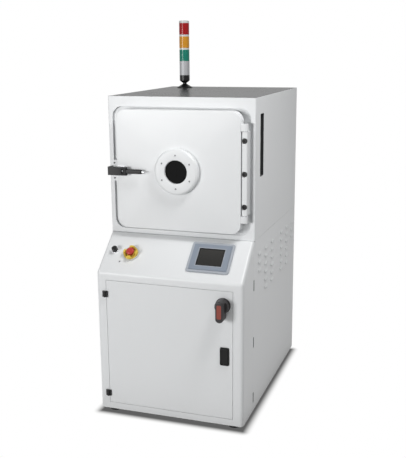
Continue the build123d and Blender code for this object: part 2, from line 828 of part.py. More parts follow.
def lower_door():
    """Flush sheet door with folded edges, holes for the disconnect and the paddle latch."""
    half = lower_door_width / 2
    z = (lower_door_bottom, lower_door_top)
    y = (front_y, front_y + lower_door_fold)
    door = slab((-half, half), y, z)
    door -= slab((-half + sheet, half - sheet), (y[0] + sheet, y[1] + 1), (z[0] + sheet, z[1] - sheet))
    door -= rod_y(disconnect_bore_radius, (y[0] - 1, y[0] + sheet + 1), disconnect_x, disconnect_z)
    cup = (paddle_size[0] - 6, paddle_size[1] - 9)
    door -= plate_xz(
        Rectangle(cup[0] + 2 * fit_gap, cup[1] + 2 * fit_gap), (y[0] - 1, y[0] + sheet + 1), paddle_x,
        paddle_z,
    )
    for x in (-190.0, 60.0):
        door += slab((x - 20, x + 20), (y[0] + 1, y[0] + 12), (z[0] + 60, z[1] - 60))
    return door


def hinge_knuckles(levels, centre_z):
    """Knuckle segments on the lower hinge axis between the levels given."""
    ring = Circle(hinge_knuckle_radius)
    return [plan_z(ring, (centre_z + a, centre_z + b), lower_axis_x, lower_axis_y) for a, b in levels]


def hinge_half(side, levels, centre_z, bore):
    """One half of a square hinge: its leaf on the sheet plus its knuckles."""
    half = hinge_height / 2
    gap = 0.6
    near = lower_axis_x + side * gap
    far = lower_axis_x + side * hinge_half_width
    leaf = slab(sorted((near, far)), (lower_axis_y, front_y), (centre_z - half, centre_z + half))
    for a, b in ((-half, -half / 3), (-half / 3, half / 3), (half / 3, half)):
        if (a, b) not in levels:
            leaf -= rod_z(
                hinge_knuckle_radius + fit_gap, (centre_z + a - fit_gap, centre_z + b + fit_gap),
                lower_axis_x, lower_axis_y,
            )
    trimmed = [(a + (fit_gap if a > -half else 0), b - (fit_gap if b < half else 0)) for a, b in levels]
    solid = leaf + hinge_knuckles(trimmed, centre_z)
    if bore:
        solid -= rod_z(
            hinge_pin_radius + running_gap, (centre_z - half - 1, centre_z + half + 1), lower_axis_x,
            lower_axis_y,
        )
    return solid


def cabinet_hinge_halves():
    """Frame halves with the pin fixed through both outer knuckles."""
    half = hinge_height / 2
    levels = [(-half, -half / 3), (half / 3, half)]
    halves = []
    for z in hinge_heights:
        solid = hinge_half(-1, levels, z, bore=False)
        halves.append(solid + rod_z(hinge_pin_radius, (z - half, z + half), lower_axis_x, lower_axis_y))
    return halves


def door_hinge_halves():
    half = hinge_height / 2
    return [hinge_half(1, [(-half / 3, half / 3)], z, bore=True) for z in hinge_heights]


def disconnect_plate():
    """Round escutcheon of the rotary disconnect on the door's face."""
    plate = rod_y(
        disconnect_disc_radius, (front_y - disconnect_disc_thickness, front_y), disconnect_x, disconnect_z
    )
    rim = plate.edges().filter_by(
        lambda e: abs(e.center().Y - front_y + disconnect_disc_thickness) < 0.01
    )
    return fillet(rim, 2) - rod_y(
        disconnect_bore_radius, (front_y - 20, front_y + 1), disconnect_x, disconnect_z
    )


def disconnect_handle():
    """Pistol-shaped handle: a round hub and a long grip with a recess for the insert."""
    back = front_y - disconnect_disc_thickness - fit_gap
    middle = back - 24
    front = front_y - disconnect_proud
    hub = rod_y(disconnect_disc_radius - 3, (middle, back), disconnect_x, disconnect_z)
    hub_rim = hub.edges().filter_by(lambda e: abs(e.center().Y - middle) < 0.01)
    hub = fillet(hub_rim, 4)
    length = handle_grip_up + handle_grip_down
    centre_z = disconnect_z + (handle_grip_up - handle_grip_down) / 2
    grip = plate_xz(
        SlotOverall(length, handle_grip_width, rotation=90), (front, back - 6), disconnect_x, centre_z
    )
    grip_rim = grip.edges().filter_by(lambda e: abs(e.center().Y - front) < 0.01)
    grip = fillet(grip_rim, 6)
    handle = hub + grip
    insert = RectangleRounded(handle_insert_size[0], handle_insert_size[1], 6)
    handle -= plate_xz(insert, (front - 1, front + 3), disconnect_x, disconnect_z - 12)
    spigot = rod_y(
        disconnect_bore_radius - running_gap, (back - 1, front_y - 0.5), disconnect_x, disconnect_z
    )
    return handle + spigot - rod_y(9, (back - 16, front_y), disconnect_x, disconnect_z)


def disconnect_insert():
    front = front_y - disconnect_proud
    size = (handle_insert_size[0] - 2 * fit_gap, handle_insert_size[1] - 2 * fit_gap)
    return plate_xz(RectangleRounded(*size, 5.7), (front, front + 3), disconnect_x, disconnect_z - 12)


def disconnect_shaft():
    """Square drive shaft with a round journal inside the switch."""
    y = front_y + 50
    tip = front_y - disconnect_disc_thickness - 10
    shaft = plate_xz(Rectangle(shaft_side, shaft_side), (tip, y), disconnect_x, disconnect_z)
    return shaft + rod_y(shaft_journal_radius, (y, y + 40), disconnect_x, disconnect_z)


def disconnect_switch():
    """Rotary switch body fixed to the side of the lower front post."""
    reach = post_outer_x - post_width - fit_gap - disconnect_x
    y = (front_y + 50 + fit_gap, front_y + 120)
    body = slab((disconnect_x - reach, disconnect_x + reach), y, (disconnect_z - 45, disconnect_z + 45))
    body = fillet(body.edges().filter_by(Axis.Y), 5)
    for x in (-25, 0, 25):
        for z in (-41, 41):
            body -= Pos(disconnect_x + x, y[1] - 14, disconnect_z + z) * Box(12, 20, 14)
    return body - rod_y(
        shaft_journal_radius + running_gap, (y[0] - 1, y[0] + 42), disconnect_x, disconnect_z
    )


def paddle_housing():
    """Paddle latch body: a rounded frame, a cup behind the door and the bolt guide."""
    cup = (paddle_size[0] - 6, paddle_size[1] - 9)
    rim = plate_xz(
        RectangleRounded(*paddle_size, 7), (front_y - paddle_proud, front_y), paddle_x, paddle_z
    )
    front_edges = rim.edges().filter_by(lambda e: abs(e.center().Y - front_y + paddle_proud) < 0.01)
    housing = fillet(front_edges, 1.5)
    back = front_y + paddle_cup_depth
    housing += plate_xz(Rectangle(*cup), (front_y - 1, back), paddle_x, paddle_z)
    room = (paddle_size[0] - 2 * paddle_frame, paddle_size[1] - 2 * paddle_frame)
    housing -= plate_xz(
        RectangleRounded(*room, 4), (front_y - paddle_proud - 1, back - 2), paddle_x, paddle_z
    )
    guide_half = bolt_size[1] / 2 + 6
    guide_x = (paddle_x - 16, paddle_x + 14)
    housing += slab(
        guide_x, (back - 0.5, back + bolt_size[0] + 5), (paddle_z - guide_half, paddle_z + guide_half)
    )
    clear = fit_gap
    channel_z = (paddle_z - bolt_size[1] / 2 - clear, paddle_z + bolt_size[1] / 2 + clear)
    housing -= slab(
        (guide_x[0] - 1, guide_x[1] + 1), (back + 2 - clear, back + 2 + bolt_size[0] + clear), channel_z
    )
    return housing - paddle_pin(paddle_pin_radius + running_gap, paddle_size[0] / 2 - paddle_frame + 2)


def paddle():
    """Pull paddle with its pivot pin along the top edge."""
    width = paddle_size[0] - 2 * paddle_frame - 2 * paddle_gap
    height = paddle_size[1] - 2 * paddle_frame - 2 * paddle_gap
    front = front_y - paddle_proud
    plate = plate_xz(
        RectangleRounded(width, height, 3.5), (front, front + paddle_thickness), paddle_x, paddle_z
    )
    front_rim = plate.edges().filter_by(lambda e: abs(e.center().Y - front) < 0.01)
    plate = fillet(front_rim, 1.2)
    barrel = paddle_pin(paddle_thickness / 2 + 0.5, width / 2 - 4)
    return plate + barrel + paddle_pin(paddle_pin_radius, paddle_size[0] / 2 - paddle_frame + 1.5)


def paddle_pin(radius, reach):
    """Round bar on the paddle's pivot line, as long each way as the reach."""
    height = paddle_size[1] - 2 * paddle_frame - 2 * paddle_gap
    axis_z = paddle_z + height / 2 - 3
    axis_y = front_y - paddle_proud + paddle_thickness / 2
    end = Plane((paddle_x - reach, axis_y, axis_z), x_dir=(0, 1, 0), z_dir=(1, 0, 0))
    return extrude(end * Circle(radius), amount=2 * reach)


def paddle_bolt():
    """Sliding bolt behind the paddle latch."""
    back = front_y + paddle_cup_depth + 2
    half = bolt_size[1] / 2
    tip = lower_door_width / 2 - stop_lip_width
    bolt = slab((paddle_x - 30, tip), (back, back + bolt_size[0]), (paddle_z - half, paddle_z + half))
    tip_edge = bolt.edges().filter_by(Axis.Z).sort_by(Axis.X)[-1]
    return chamfer(tip_edge, 4)


# Console controls

def touchscreen_bezel():
    """Two-step bezel with the body of the panel behind the console."""
    w, h = screen_size
    base = extrude(RectangleRounded(w, h, 11), amount=screen_bezel_height - 3)
    step = Pos(0, 0, screen_bezel_height - 3.1) * extrude(
        RectangleRounded(w - 22, h - 22, 7), amount=3.1, taper=20
    )
    body = Pos(0, 0, -screen_body_depth) * extrude(
        Rectangle(w - 16, h - 16), amount=screen_body_depth + 1
    )
    room = RectangleRounded(screen_glass_size[0] + 2 * fit_gap, screen_glass_size[1] + 2 * fit_gap, 2)
    glass_room = Pos(0, 0, screen_bezel_height - 4) * extrude(room, amount=10)
    return on_console(screen_centre, base + step + body - glass_room)


def touchscreen_glass():
    glass = extrude(RectangleRounded(*screen_glass_size, 2), amount=2.5)
    return on_console(screen_centre, glass, screen_bezel_height - 4)


def estop_base_ring():
    ring = extrude(Circle(estop_ring_radius) - Circle(estop_guard_radius + fit_gap), amount=7)
    outer_top = ring.edges().filter_by(lambda e: abs(e.center().Z - 7) < 0.01).sort_by(SortBy.LENGTH)[-1]
    return on_console(estop_centre, fillet(outer_top, 2.5))


def estop_guard():
    """Yellow collar round the stop button, scalloped for the fingers."""
    guard = extrude(Circle(estop_guard_radius) - Circle(estop_head_radius + 7), amount=22)
    for angle in (45, 135, 225, 315):
        guard -= Rot(0, 0, angle) * Pos(estop_guard_radius, 0, 22) * Rot(0, 90, 0) * Cylinder(13, 30)
    floor = extrude(Circle(estop_guard_radius) - Circle(control_bore_radius), amount=4)
    return on_console(estop_centre, guard + floor)


def estop_button():
    """Mushroom head on a round stem, with a domed top."""
    r = estop_head_radius
    stem_r = control_bore_radius - fit_gap
    outline = Polyline(
        (0, -9), (stem_r, -9), (stem_r, 15), (r - 3, 15), (r, 18), (r, 27), (r - 5, 32), (0, 34),
        close=True,
    )
    return on_console(estop_centre, revolve(Plane.XZ * make_face(outline), axis=Axis.Z))


def power_button_bezel():
    ring = extrude(Circle(button_bezel_radius) - Circle(control_bore_radius), amount=6)
    top = ring.edges().filter_by(lambda e: abs(e.center().Z - 6) < 0.01).sort_by(SortBy.LENGTH)[-1]
    return on_console(button_centre, fillet(top, 1.5))


def power_button():
    """Round push button, capped."""
    r = button_head_radius
    stem_r = control_bore_radius - fit_gap
    outline = Polyline(
        (0, -9), (stem_r, -9), (stem_r, 11), (r, 11), (r, 21), (r - 2.5, 23.5), (0, 24.5), close=True,
    )
    return on_console(button_centre, revolve(Plane.XZ * make_face(outline), axis=Axis.Z))


def button_contact_blocks():
    """Contact blocks clipped behind the console, open in front for the plungers."""
    blocks = []
    for place in (estop_centre, button_centre):
        block = Pos(0, 0, -sheet - fit_gap - 24) * Box(32, 42, 48)
        well = Pos(0, 0, -sheet - fit_gap - 8) * Cylinder(control_bore_radius + 0.5, 18)
        blocks.append(on_console(place, block - well))
    return blocks


# Tower light

def tower_base():
    """Flared foot, slim neck and the cup that holds the light column."""
    z1 = tower_base_height
    z2 = z1 + tower_cup_height
    outline = Polyline(
        (0, 0), (tower_base_radius, 0), (tower_base_radius, 3), (tower_base_radius - 12, 9),
        (tower_waist_radius, z1 - 5), (tower_waist_radius, z1 - 1), (tower_radius - 4, z1 + 8),
        (tower_radius, z1 + 13), (tower_radius, z2), (0, z2), close=True,
    )
    return tower_place(0) * revolve(Plane.XZ * make_face(outline), axis=Axis.Z)


def tower_place(height):
    return Pos(tower_x, tower_y, cabinet_height + height)


def tower_segment(index):
    """Height where a lens starts, counted upwards from the body."""
    start = tower_base_height + tower_cup_height + tower_body_height
    return start + index * (tower_lens_height + tower_ring_height)


def tower_body():
    start = tower_base_height + tower_cup_height
    return tower_place(start) * extrude(Circle(tower_radius), amount=tower_body_height)


def tower_lens(index):
    """Ribbed lens: a drum with shallow rings."""
    ribs = 6
    pitch = tower_lens_height / ribs
    r = tower_radius
    points = [(0, 0)]
    for k in range(ribs):
        points += [(r - 0.8, k * pitch), (r, k * pitch + 1), (r, (k + 1) * pitch - 1)]
    points += [(r - 0.8, tower_lens_height), (0, tower_lens_height)]
    drum = revolve(Plane.XZ * make_face(Polyline(*points, close=True)), axis=Axis.Z)
    return tower_place(tower_segment(index)) * drum


def tower_rings():
    """Clear joint rings between the lenses and the cap on top."""
    rings = []
    for index in (1, 2):
        ring = extrude(Circle(tower_radius - 1), amount=tower_ring_height)
        rings.append(tower_place(tower_segment(index) - tower_ring_height) * ring)
    cap = extrude(Circle(tower_radius), amount=tower_cap_height)
    top = cap.edges().sort_by(Axis.Z)[-1]
    rings.append(tower_place(tower_segment(3) - tower_ring_height) * fillet(top, 5))
    return rings


# Services inside the cabinet

def rf_generator():
    """Radio-frequency generator: a rack box with a front panel, grips and cooling fins."""
    y = (60.0, 420.0)
    z = (base_plate_thickness + 6, base_plate_thickness + 138)
    box = slab((-215, 215), y, z) - slab((-212, 212), (y[0] + 6, y[1] - 3), (z[0] + 3, z[1] - 11))
    box += slab((-232, 232), (y[0] - 4, y[0] + 0.1), (z[0], z[1]))
    for x in (-222, 222):
        grip = slab((x - 4, x + 4), (y[0] - 34, y[0] - 3), (z[0] + 30, z[1] - 30))
        grip -= slab((x - 5, x + 5), (y[0] - 28, y[0] - 3), (z[0] + 38, z[1] - 38))
        box += grip
    for k in range(8):
        x = -190 + k * 18
        box -= slab((x, x + 9), (y[0] + 60, y[1] - 60), (z[1] - 8, z[1] + 1))
    for x in (-180, 180):
        for foot_y in (y[0] + 40, y[1] - 40):
            box += rod_z(12, (base_plate_thickness, z[0] + 0.1), x, foot_y)
    return box


def matching_network():
    """Shielded tuning box on the chamber roof with its feed post."""
    top = chamber_centre_z + cavity_height / 2 + chamber_wall
    box = slab((-130, 130), (110, 390), (top + 4, cabinet_height - 24))
    for x in (-110, 110):
        for y in (130, 370):
            box += rod_z(8, (top, top + 5), x, y)
    box -= slab((-100, 100), (150, 350), (cabinet_height - 27, cabinet_height - 20))
    return box


def control_module():
    """Controller, relays and supply on rails in front of the component plate."""
    plate_front = pipe_y - 100
    pieces = []
    for x, width, z, height, depth in (
        (-200, 120, 640, 110, 85),
        (-60, 130, 640, 110, 75),
        (-190, 150, 440, 120, 60),
        (0, 100, 440, 100, 70),
        (60, 240, 290, 60, 45),
    ):
        box = Pos(x, plate_front - depth / 2, z) * Box(width, depth, height)
        pieces.append(box)
    return pieces


def gas_panel():
    """Two mass-flow controllers on a manifold, with the inlet tube and its bulkhead fitting."""
    x = (-(post_outer_x - post_width - fit_gap), -272.0)
    middle = (x[0] + x[1]) / 2
    bar = slab(x, (120, 460), (ledge_height, ledge_height + 28))
    for start in (150, 300):
        bar += slab((x[0] + 2, x[1] - 2), (start, start + 120), (ledge_height + 27, ledge_height + 80))
        bar += slab((x[0], x[1]), (start + 30, start + 112), (ledge_height + 79, ledge_height + 140))
    inlet_z = gas_inlet[1]
    end = upper_depth + fit_gap
    bar += rod_y(gas_tube_radius, (455, end + 2), gas_inlet[0], inlet_z)
    bar += rod_y(8.2, (upper_depth - 12, end + 1), gas_inlet[0], inlet_z)
    nut = Plane((gas_inlet[0], end + 14, inlet_z), x_dir=(1, 0, 0), z_dir=(0, -1, 0)) * RegularPolygon(
        10.5, 6
    )
    bar += extrude(nut, amount=14)
    bar += rod_y(6.5, (end + 13, end + 22), gas_inlet[0], inlet_z)
    bar -= rod_y(gas_socket_radius, (end + 22 - gas_socket_depth, end + 23), gas_inlet[0], inlet_z)
    chamber_x = -(cavity_width / 2 + chamber_wall)
    feed = Plane((x[1] - 5, 220, ledge_height + 110), x_dir=(0, 1, 0), z_dir=(1, 0, 0)) * Circle(
        gas_tube_radius
    )
    return bar + extrude(feed, amount=chamber_x - x[1] + 5)


def vacuum_line():
    """Pump line in two lengths: chamber port to valve, and valve to the rear flange."""
    top_z = chamber_centre_z - cavity_height / 2 + 60
    r = pump_pipe_radius
    bend = 55.0
    down_y = pipe_y
    upper_path = FilletPolyline(
        (0, chamber_back_y, top_z), (0, down_y, top_z), (0, down_y, 700), radius=bend
    )
    lower_path = FilletPolyline(
        (0, down_y, 560), (0, down_y, pump_port_z), (0, upper_depth + rear_proud, pump_port_z),
        radius=bend,
    )
    pieces = []
    for path in (upper_path, lower_path):
        start = Plane(origin=path @ 0, z_dir=path % 0)
        tube = sweep(start * Circle(r), path=path) - sweep(start * Circle(pump_bore_radius), path=path)
        pieces.append(tube)
    collar = Circle(pump_flange_radius) - Circle(pump_bore_radius)
    pieces[0] += plate_xz(collar, (chamber_back_y, chamber_back_y + 8), 0, top_z)
    pieces[0] += plan_z(collar, (700, 708), 0, down_y)
    pieces[1] += plan_z(collar, (552, 560), 0, down_y)
    end = upper_depth + rear_proud
    pieces[1] += plate_xz(collar, (end - 6, end), 0, pump_port_z)
    return pieces


def vacuum_valve():
    """Inline isolation valve with its round actuator."""
    y = pipe_y
    body = slab((-45, 45), (y - 45, y + 45), (560, 700))
    body = fillet(body.edges().filter_by(Axis.Z), 8)
    body -= rod_z(pump_bore_radius, (559, 701), 0, y)
    actuator = Plane((44, y, 630), x_dir=(0, 1, 0), z_dir=(1, 0, 0)) * Circle(32)
    body += extrude(actuator, amount=70)
    return body - rod_z(pump_bore_radius, (559, 701), 0, y)


def fan_frame():
    """Square fan frame with four struts that carry the rotor's bearing."""
    y = (upper_depth - sheet - fan_depth, upper_depth - sheet)
    x, z = fan_centre
    outline = RectangleRounded(fan_size, fan_size, 6) - Circle(fan_bore_radius)
    frame = plate_xz(outline, y, x, z)
    strut = Rectangle(2 * fan_bore_radius + 4, 7)
    struts = Circle(18) + Rotation(0, 0, 45) * strut + Rotation(0, 0, -45) * strut
    frame += plate_xz(struts, (y[0], y[0] + 5), x, z)
    return frame - rod_y(3 + running_gap, (y[0] - 1, y[0] + 6), x, z)


def fan_rotor():
    """Seven pitched blades on a hub and a shaft."""
    y = (upper_depth - sheet - fan_depth, upper_depth - sheet)
    x, z = fan_centre
    hub = Cylinder(20, 24)
    blade = Pos(36, 0, 0) * Rot(32, 0, 0) * Box(36, 28, 2)
    rotor = hub
    rotor += [Rot(0, 0, k * 360 / 7) * blade for k in range(7)]
    facing = Plane((x, y[0] + 5 + 3 + 12, z), x_dir=(1, 0, 0), z_dir=(0, -1, 0))
    return facing * rotor + rod_y(3, (y[0] + 0.5, y[0] + 10), x, z)


def nodes():
    """Every sub-part by name."""
    lower = side_panel_lower()
    upper = side_panel_upper()
    pocket = side_pull_pocket()
    return {
        "base_pan": base_pan(),
        "levelling_feet": levelling_feet(),
        "cabinet_frame": cabinet_frame(),
        "front_bezel": bezel_with_openings(),
        "side_panel_lower_right": lower,
        "side_panel_lower_left": mirrored(lower),
        "side_panel_upper_right": upper,
        "side_panel_upper_left": mirrored(upper),
        "side_pull_pockets": [pocket, mirrored(pocket)],
        "upper_front_panel": upper_front_panel(),
        "top_panel": top_panel(),
        "rear_panels": [rear_panel_upper(), rear_panel_lower()],
        "vacuum_chamber": vacuum_chamber(),
        "door_seal": door_seal(),
        "electrode_rails": electrode_rails(),
        "shelf_electrodes": shelf_electrodes(),
        "door_cover": door_cover(),
        "door_plate": door_plate(),
        "door_hinge_ears": door_hinge_ears(),
        "hinge_block": hinge_block(),
        "hinge_pins": hinge_pins(),
        "viewport_flange": viewport_flange(),
        "viewport_glass": viewport_glass(),
        "latch_base": latch_base(),
        "latch_lever": latch_lever(),
        "latch_claw": latch_claw(),
        "latch_keeper": latch_keeper(),
        "lower_door": lower_door(),
        "cabinet_hinge_halves": cabinet_hinge_halves(),
        "door_hinge_halves": door_hinge_halves(),
        "disconnect_plate": disconnect_plate(),
        "disconnect_handle": disconnect_handle(),
        "disconnect_insert": disconnect_insert(),
        "disconnect_shaft": disconnect_shaft(),
        "disconnect_switch": disconnect_switch(),
        "paddle_housing": paddle_housing(),
        "paddle": paddle(),
        "paddle_bolt": paddle_bolt(),
        "touchscreen_bezel": touchscreen_bezel(),
        "touchscreen_glass": touchscreen_glass(),
        "estop_base_ring": estop_base_ring(),
        "estop_guard": estop_guard(),
        "estop_button": estop_button(),
        "power_button_bezel": power_button_bezel(),
        "power_button": power_button(),
        "button_contact_blocks": button_contact_blocks(),
        "tower_base": tower_base(),
        "tower_body": tower_body(),
        "tower_lens_green": tower_lens(0),
        "tower_lens_amber": tower_lens(1),
        "tower_lens_red": tower_lens(2),
        "tower_rings": tower_rings(),
        "rf_generator": rf_generator(),
        "matching_network": matching_network(),
        "control_module": control_module(),
        "gas_panel": gas_panel(),
        "vacuum_line": vacuum_line(),
        "vacuum_valve": vacuum_valve(),
        "fan_frame": fan_frame(),
        "fan_rotor": fan_rotor(),
    }


def write_parts():
    os.makedirs("parts", exist_ok=True)
    for name, shape in nodes().items():
        pieces = shape if isinstance(shape, list) else [shape]
        solids = [to_floor_centre * solid for piece in pieces for solid in piece.solids()]
        whole = Compound(children=solids) if len(solids) > 1 else solids[0]
        export_step(whole, f"parts/{name}.step")


write_parts()
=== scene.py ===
import json
import math

import bmesh
import bpy
from mathutils import Matrix, Vector


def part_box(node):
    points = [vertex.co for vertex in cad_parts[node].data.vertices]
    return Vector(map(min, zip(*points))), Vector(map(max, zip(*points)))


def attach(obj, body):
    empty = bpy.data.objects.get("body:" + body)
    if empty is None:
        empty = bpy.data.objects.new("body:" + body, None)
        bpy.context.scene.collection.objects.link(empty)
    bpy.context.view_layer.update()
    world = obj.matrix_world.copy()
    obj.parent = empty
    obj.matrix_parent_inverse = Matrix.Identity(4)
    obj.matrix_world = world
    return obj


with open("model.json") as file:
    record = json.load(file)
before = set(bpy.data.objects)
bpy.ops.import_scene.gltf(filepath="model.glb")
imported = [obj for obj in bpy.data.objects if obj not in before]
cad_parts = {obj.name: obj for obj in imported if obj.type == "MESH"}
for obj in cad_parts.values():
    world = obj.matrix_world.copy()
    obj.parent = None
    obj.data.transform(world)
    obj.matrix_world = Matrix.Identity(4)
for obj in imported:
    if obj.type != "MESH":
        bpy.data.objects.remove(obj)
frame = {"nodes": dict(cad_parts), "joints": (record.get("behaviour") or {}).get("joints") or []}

bl_info = {
    "name": "Plasma cleaner finish",
    "version": (1, 0, 0),
    "blender": (4, 5, 0),
    "location": "3D View > Sidebar > Plasma cleaner",
    "description": "Paint, metal, plastic, glass and small hardware for a plasma cleaner",
    "category": "Object",
}

NODES = frame["nodes"]
JOINTS = {joint["name"]: joint for joint in frame["joints"]}
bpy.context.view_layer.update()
FRONT = Vector((0, -1, 0))
BACK = Vector((0, 1, 0))

# Colours that several finishes share, as linear values
DUST = (0.34, 0.32, 0.29)
MACHINED = (0.62, 0.63, 0.64)
# Near-black for the side sheets' cut edges and inner face: painted shade in their slots and louvres
PAINTED_SLOT_SHADE = (0.010, 0.010, 0.011)
SCREEN_BORDER = (0.006, 0.006, 0.007)

# Finishes, in metres unless they are counts or shares
CAD_WELD = 0.000004
SMOOTH_ANGLE = 35.0
DUST_HEIGHT = 0.12
PEEL_DEPTH = 0.00006
FLANGE_PAINT_DEPTH = 0.0225
SEAL_MARGIN = (0.0035, 0.0045)
SCREEN_FRAME_SHARE = 0.802
SCREEN_GLASS_SHARE = 0.77
LENS_RIBS = 60

# Screw heads of unit radius: height, recess radius and recess depth
HEADS = {"hex": (0.9, 0.46, 0.5), "cross": (0.55, 0.52, 0.34)}
HEAD_SEGMENTS = 24

# Places of the small hardware, in metres
HINGE_SCREW_STEP = 0.148
HINGE_SCREW_PROUD = 0.0002
FLANGE_SCREW_SEAT = 0.0016
KEEPER_SCREW_SEAT = 0.015
KEEPER_SCREW_INSET = 0.013
LEVER_TIP_SEATED = 0.004
INDICATOR_PLACE = (-0.257, 0.066)
GLAND_ACROSS = 0.240
GLAND_HEIGHT = 0.115
FAN_SCREW_REACH = 0.0525
FAN_SCREW_PROUD = 0.0016
FAN_SCREW_RADIUS = 0.0040
GUARD_RINGS = (0.013, 0.027, 0.041, 0.055)
GUARD_HEIGHT = 0.0075
GUARD_DOME = 0.0018
GUARD_EYELET = 0.0050
PANEL_SCREW_SIDE = 0.010
PANEL_SCREW_INSET = 0.012
PANEL_SCREW_TOP = 0.026

# Stage, in degrees and metres
FLOOR_RADIUS = 14.0
LAMP_TARGET = (0, -0.1, 0.9)
CAMERA_YAW, CAMERA_PITCH, CAMERA_ROLL = 18.73, 13.33, -0.45
CAMERA_FROM_FRONT = (1.23417, -3.32610, 1.72411)


def span(node):
    """Lowest and highest corners of a CAD node."""
    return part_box(node)


def middle(node):
    """Middle of a CAD node's box."""
    low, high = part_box(node)
    return (low + high) / 2


def console_out():
    """Direction out of the console sheet, against the way its buttons are pressed."""
    return -Vector(JOINTS["power_button_press"]["axis"]).normalized()


def console_rise():
    """Direction up the console's slope."""
    out = console_out()
    return Vector((0, out.z, -out.y))


def console_spot(across, up):
    """A point on the sloped console, from its centre line and its front bend."""
    bend = bpy.context.scene.cleaner_sizes.console_bend
    return Vector((across, span("front_bezel")[0].y, bend)) + up * console_rise()


# Settings

def length_setting(name, description, default):
    return bpy.props.FloatProperty(name=name, description=description, default=default,
                                   unit="LENGTH", subtype="DISTANCE")


def colour_setting(name, description, default):
    return bpy.props.FloatVectorProperty(name=name, description=description, default=default,
                                         subtype="COLOR", size=3, min=0, max=1)


class CleanerSizes(bpy.types.PropertyGroup):
    """Sizes of the small hardware and of the finishes."""

    edge_round: length_setting(
        "Edge rounding", "Radius that folded sheet edges show", 0.0011)
    peel_scale: bpy.props.FloatProperty(
        name="Paint texture scale", description="Fineness of the powder coat's orange peel", default=620.0)
    hinge_screw_radius: length_setting(
        "Hinge screw radius", "Radius of the socket heads in the hinge block", 0.0118)
    flange_screw_radius: length_setting(
        "Viewport screw radius", "Radius of the socket heads on the viewport flange", 0.0034)
    flange_screw_circle: length_setting(
        "Viewport screw circle", "Radius of the circle the viewport screws stand on", 0.0765)
    console_bend: length_setting(
        "Console bend", "Height of the bend where the console's slope starts", 0.700)
    lever_tip: length_setting(
        "Lever tip", "Length of the steel tip on the latch lever", 0.017)
    guard_wire: length_setting(
        "Guard wire", "Radius of the fan guard's wire", 0.0011)
    panel_screw_radius: length_setting(
        "Panel screw radius", "Radius of the pan heads in the rear panels", 0.0042)
    small_screw_radius: length_setting(
        "Small screw radius", "Radius of the dark screws on the latch keeper", 0.0036)
    lamp_radius: length_setting(
        "Indicator radius", "Radius of the indicator lamp on the console", 0.0052)


class CleanerColours(bpy.types.PropertyGroup):
    """Colours of the finishes, as linear values."""

    paint: colour_setting(
        "Cabinet paint", "Cool white powder coat", (0.765, 0.778, 0.786))
    roof: colour_setting(
        "Roof paint", "Dark grey gloss paint of the roof pan", (0.045, 0.047, 0.047))
    black: colour_setting(
        "Black plastic", "Moulded black of the latch, hinges and disconnect", (0.0045, 0.0045, 0.0048))
    bezel: colour_setting(
        "Screen frame", "Blue-grey of the touchscreen's raised frame", (0.235, 0.270, 0.325))
    rim: colour_setting(
        "Screen rim", "Paler outer rim of the touchscreen", (0.400, 0.425, 0.460))
    screen: colour_setting(
        "Screen", "Dark glass of the idle touchscreen", (0.015, 0.0145, 0.013))
    guard: colour_setting(
        "Stop guard", "Yellow collar of the emergency stop", (0.76, 0.55, 0.075))
    stop: colour_setting(
        "Stop button", "Red mushroom of the emergency stop", (0.50, 0.034, 0.028))
    insert: colour_setting(
        "Disconnect insert", "Orange-red insert in the disconnect handle", (0.27, 0.045, 0.026))
    lens_green: colour_setting(
        "Green lens", "Lowest lens of the tower light", (0.008, 0.200, 0.140))
    lens_amber: colour_setting(
        "Amber lens", "Middle lens of the tower light", (0.60, 0.27, 0.022))
    lens_red: colour_setting(
        "Red lens", "Top lens of the tower light", (0.34, 0.006, 0.008))


class CleanerStudio(bpy.types.PropertyGroup):
    """Floor, lamps and camera."""

    key_power: bpy.props.FloatProperty(
        name="Left softbox", description="Power of the large lamp at the front left", default=244.0,
        unit="POWER")
    fill_power: bpy.props.FloatProperty(
        name="Right softbox", description="Power of the lamp at the front right", default=55.0, unit="POWER")
    ambient: bpy.props.FloatProperty(
        name="Ambient", description="Strength of the even studio light from all round", default=0.12)
    reflected: bpy.props.FloatProperty(
        name="Reflections", description="Brightness of the studio in shiny surfaces", default=0.60)
    lens: bpy.props.FloatProperty(
        name="Lens", description="Focal length that matches the photograph", default=61.34, unit="CAMERA")


# Shader maths

class Value:
    """A shader socket that Python arithmetic adds Math nodes to."""

    def __init__(self, maker, socket):
        self.maker = maker
        self.socket = socket

    def _math(self, operation, *values):
        node = self.maker.node("ShaderNodeMath", {"operation": operation}, dict(enumerate(values)))
        return Value(self.maker, node.outputs[0])

    def __add__(self, other):
        return self._math("ADD", self, other)

    __radd__ = __add__

    def __sub__(self, other):
        return self._math("SUBTRACT", self, other)

    def __rsub__(self, other):
        return self._math("SUBTRACT", other, self)

    def __mul__(self, other):
        return self._math("MULTIPLY", self, other)

    __rmul__ = __mul__

    def __truediv__(self, other):
        return self._math("DIVIDE", self, other)

    def clamped(self):
        node = self.maker.node("ShaderNodeClamp", {}, {"Value": self})
        return Value(self.maker, node.outputs[0])

    def power(self, exponent):
        return self._math("POWER", self, exponent)

    def size(self):
        return self._math("ABSOLUTE", self)

    def sine(self):
        return self._math("SINE", self)

    def angle_from(self, across):
        """Angle about the axis of the point (across, self), in radians."""
        return self._math("ARCTAN2", self, across)

    def at_least(self, other):
        return self._math("MAXIMUM", self, other)

    def at_most(self, other):
        return self._math("MINIMUM", self, other)

    def smooth(self, low, high):
        """0 below low, 1 above high, smooth between."""
        node = self.maker.node("ShaderNodeMapRange", {"interpolation_type": "SMOOTHSTEP"},
                               {"Value": self, "From Min": low, "From Max": high})
        return Value(self.maker, node.outputs[0])


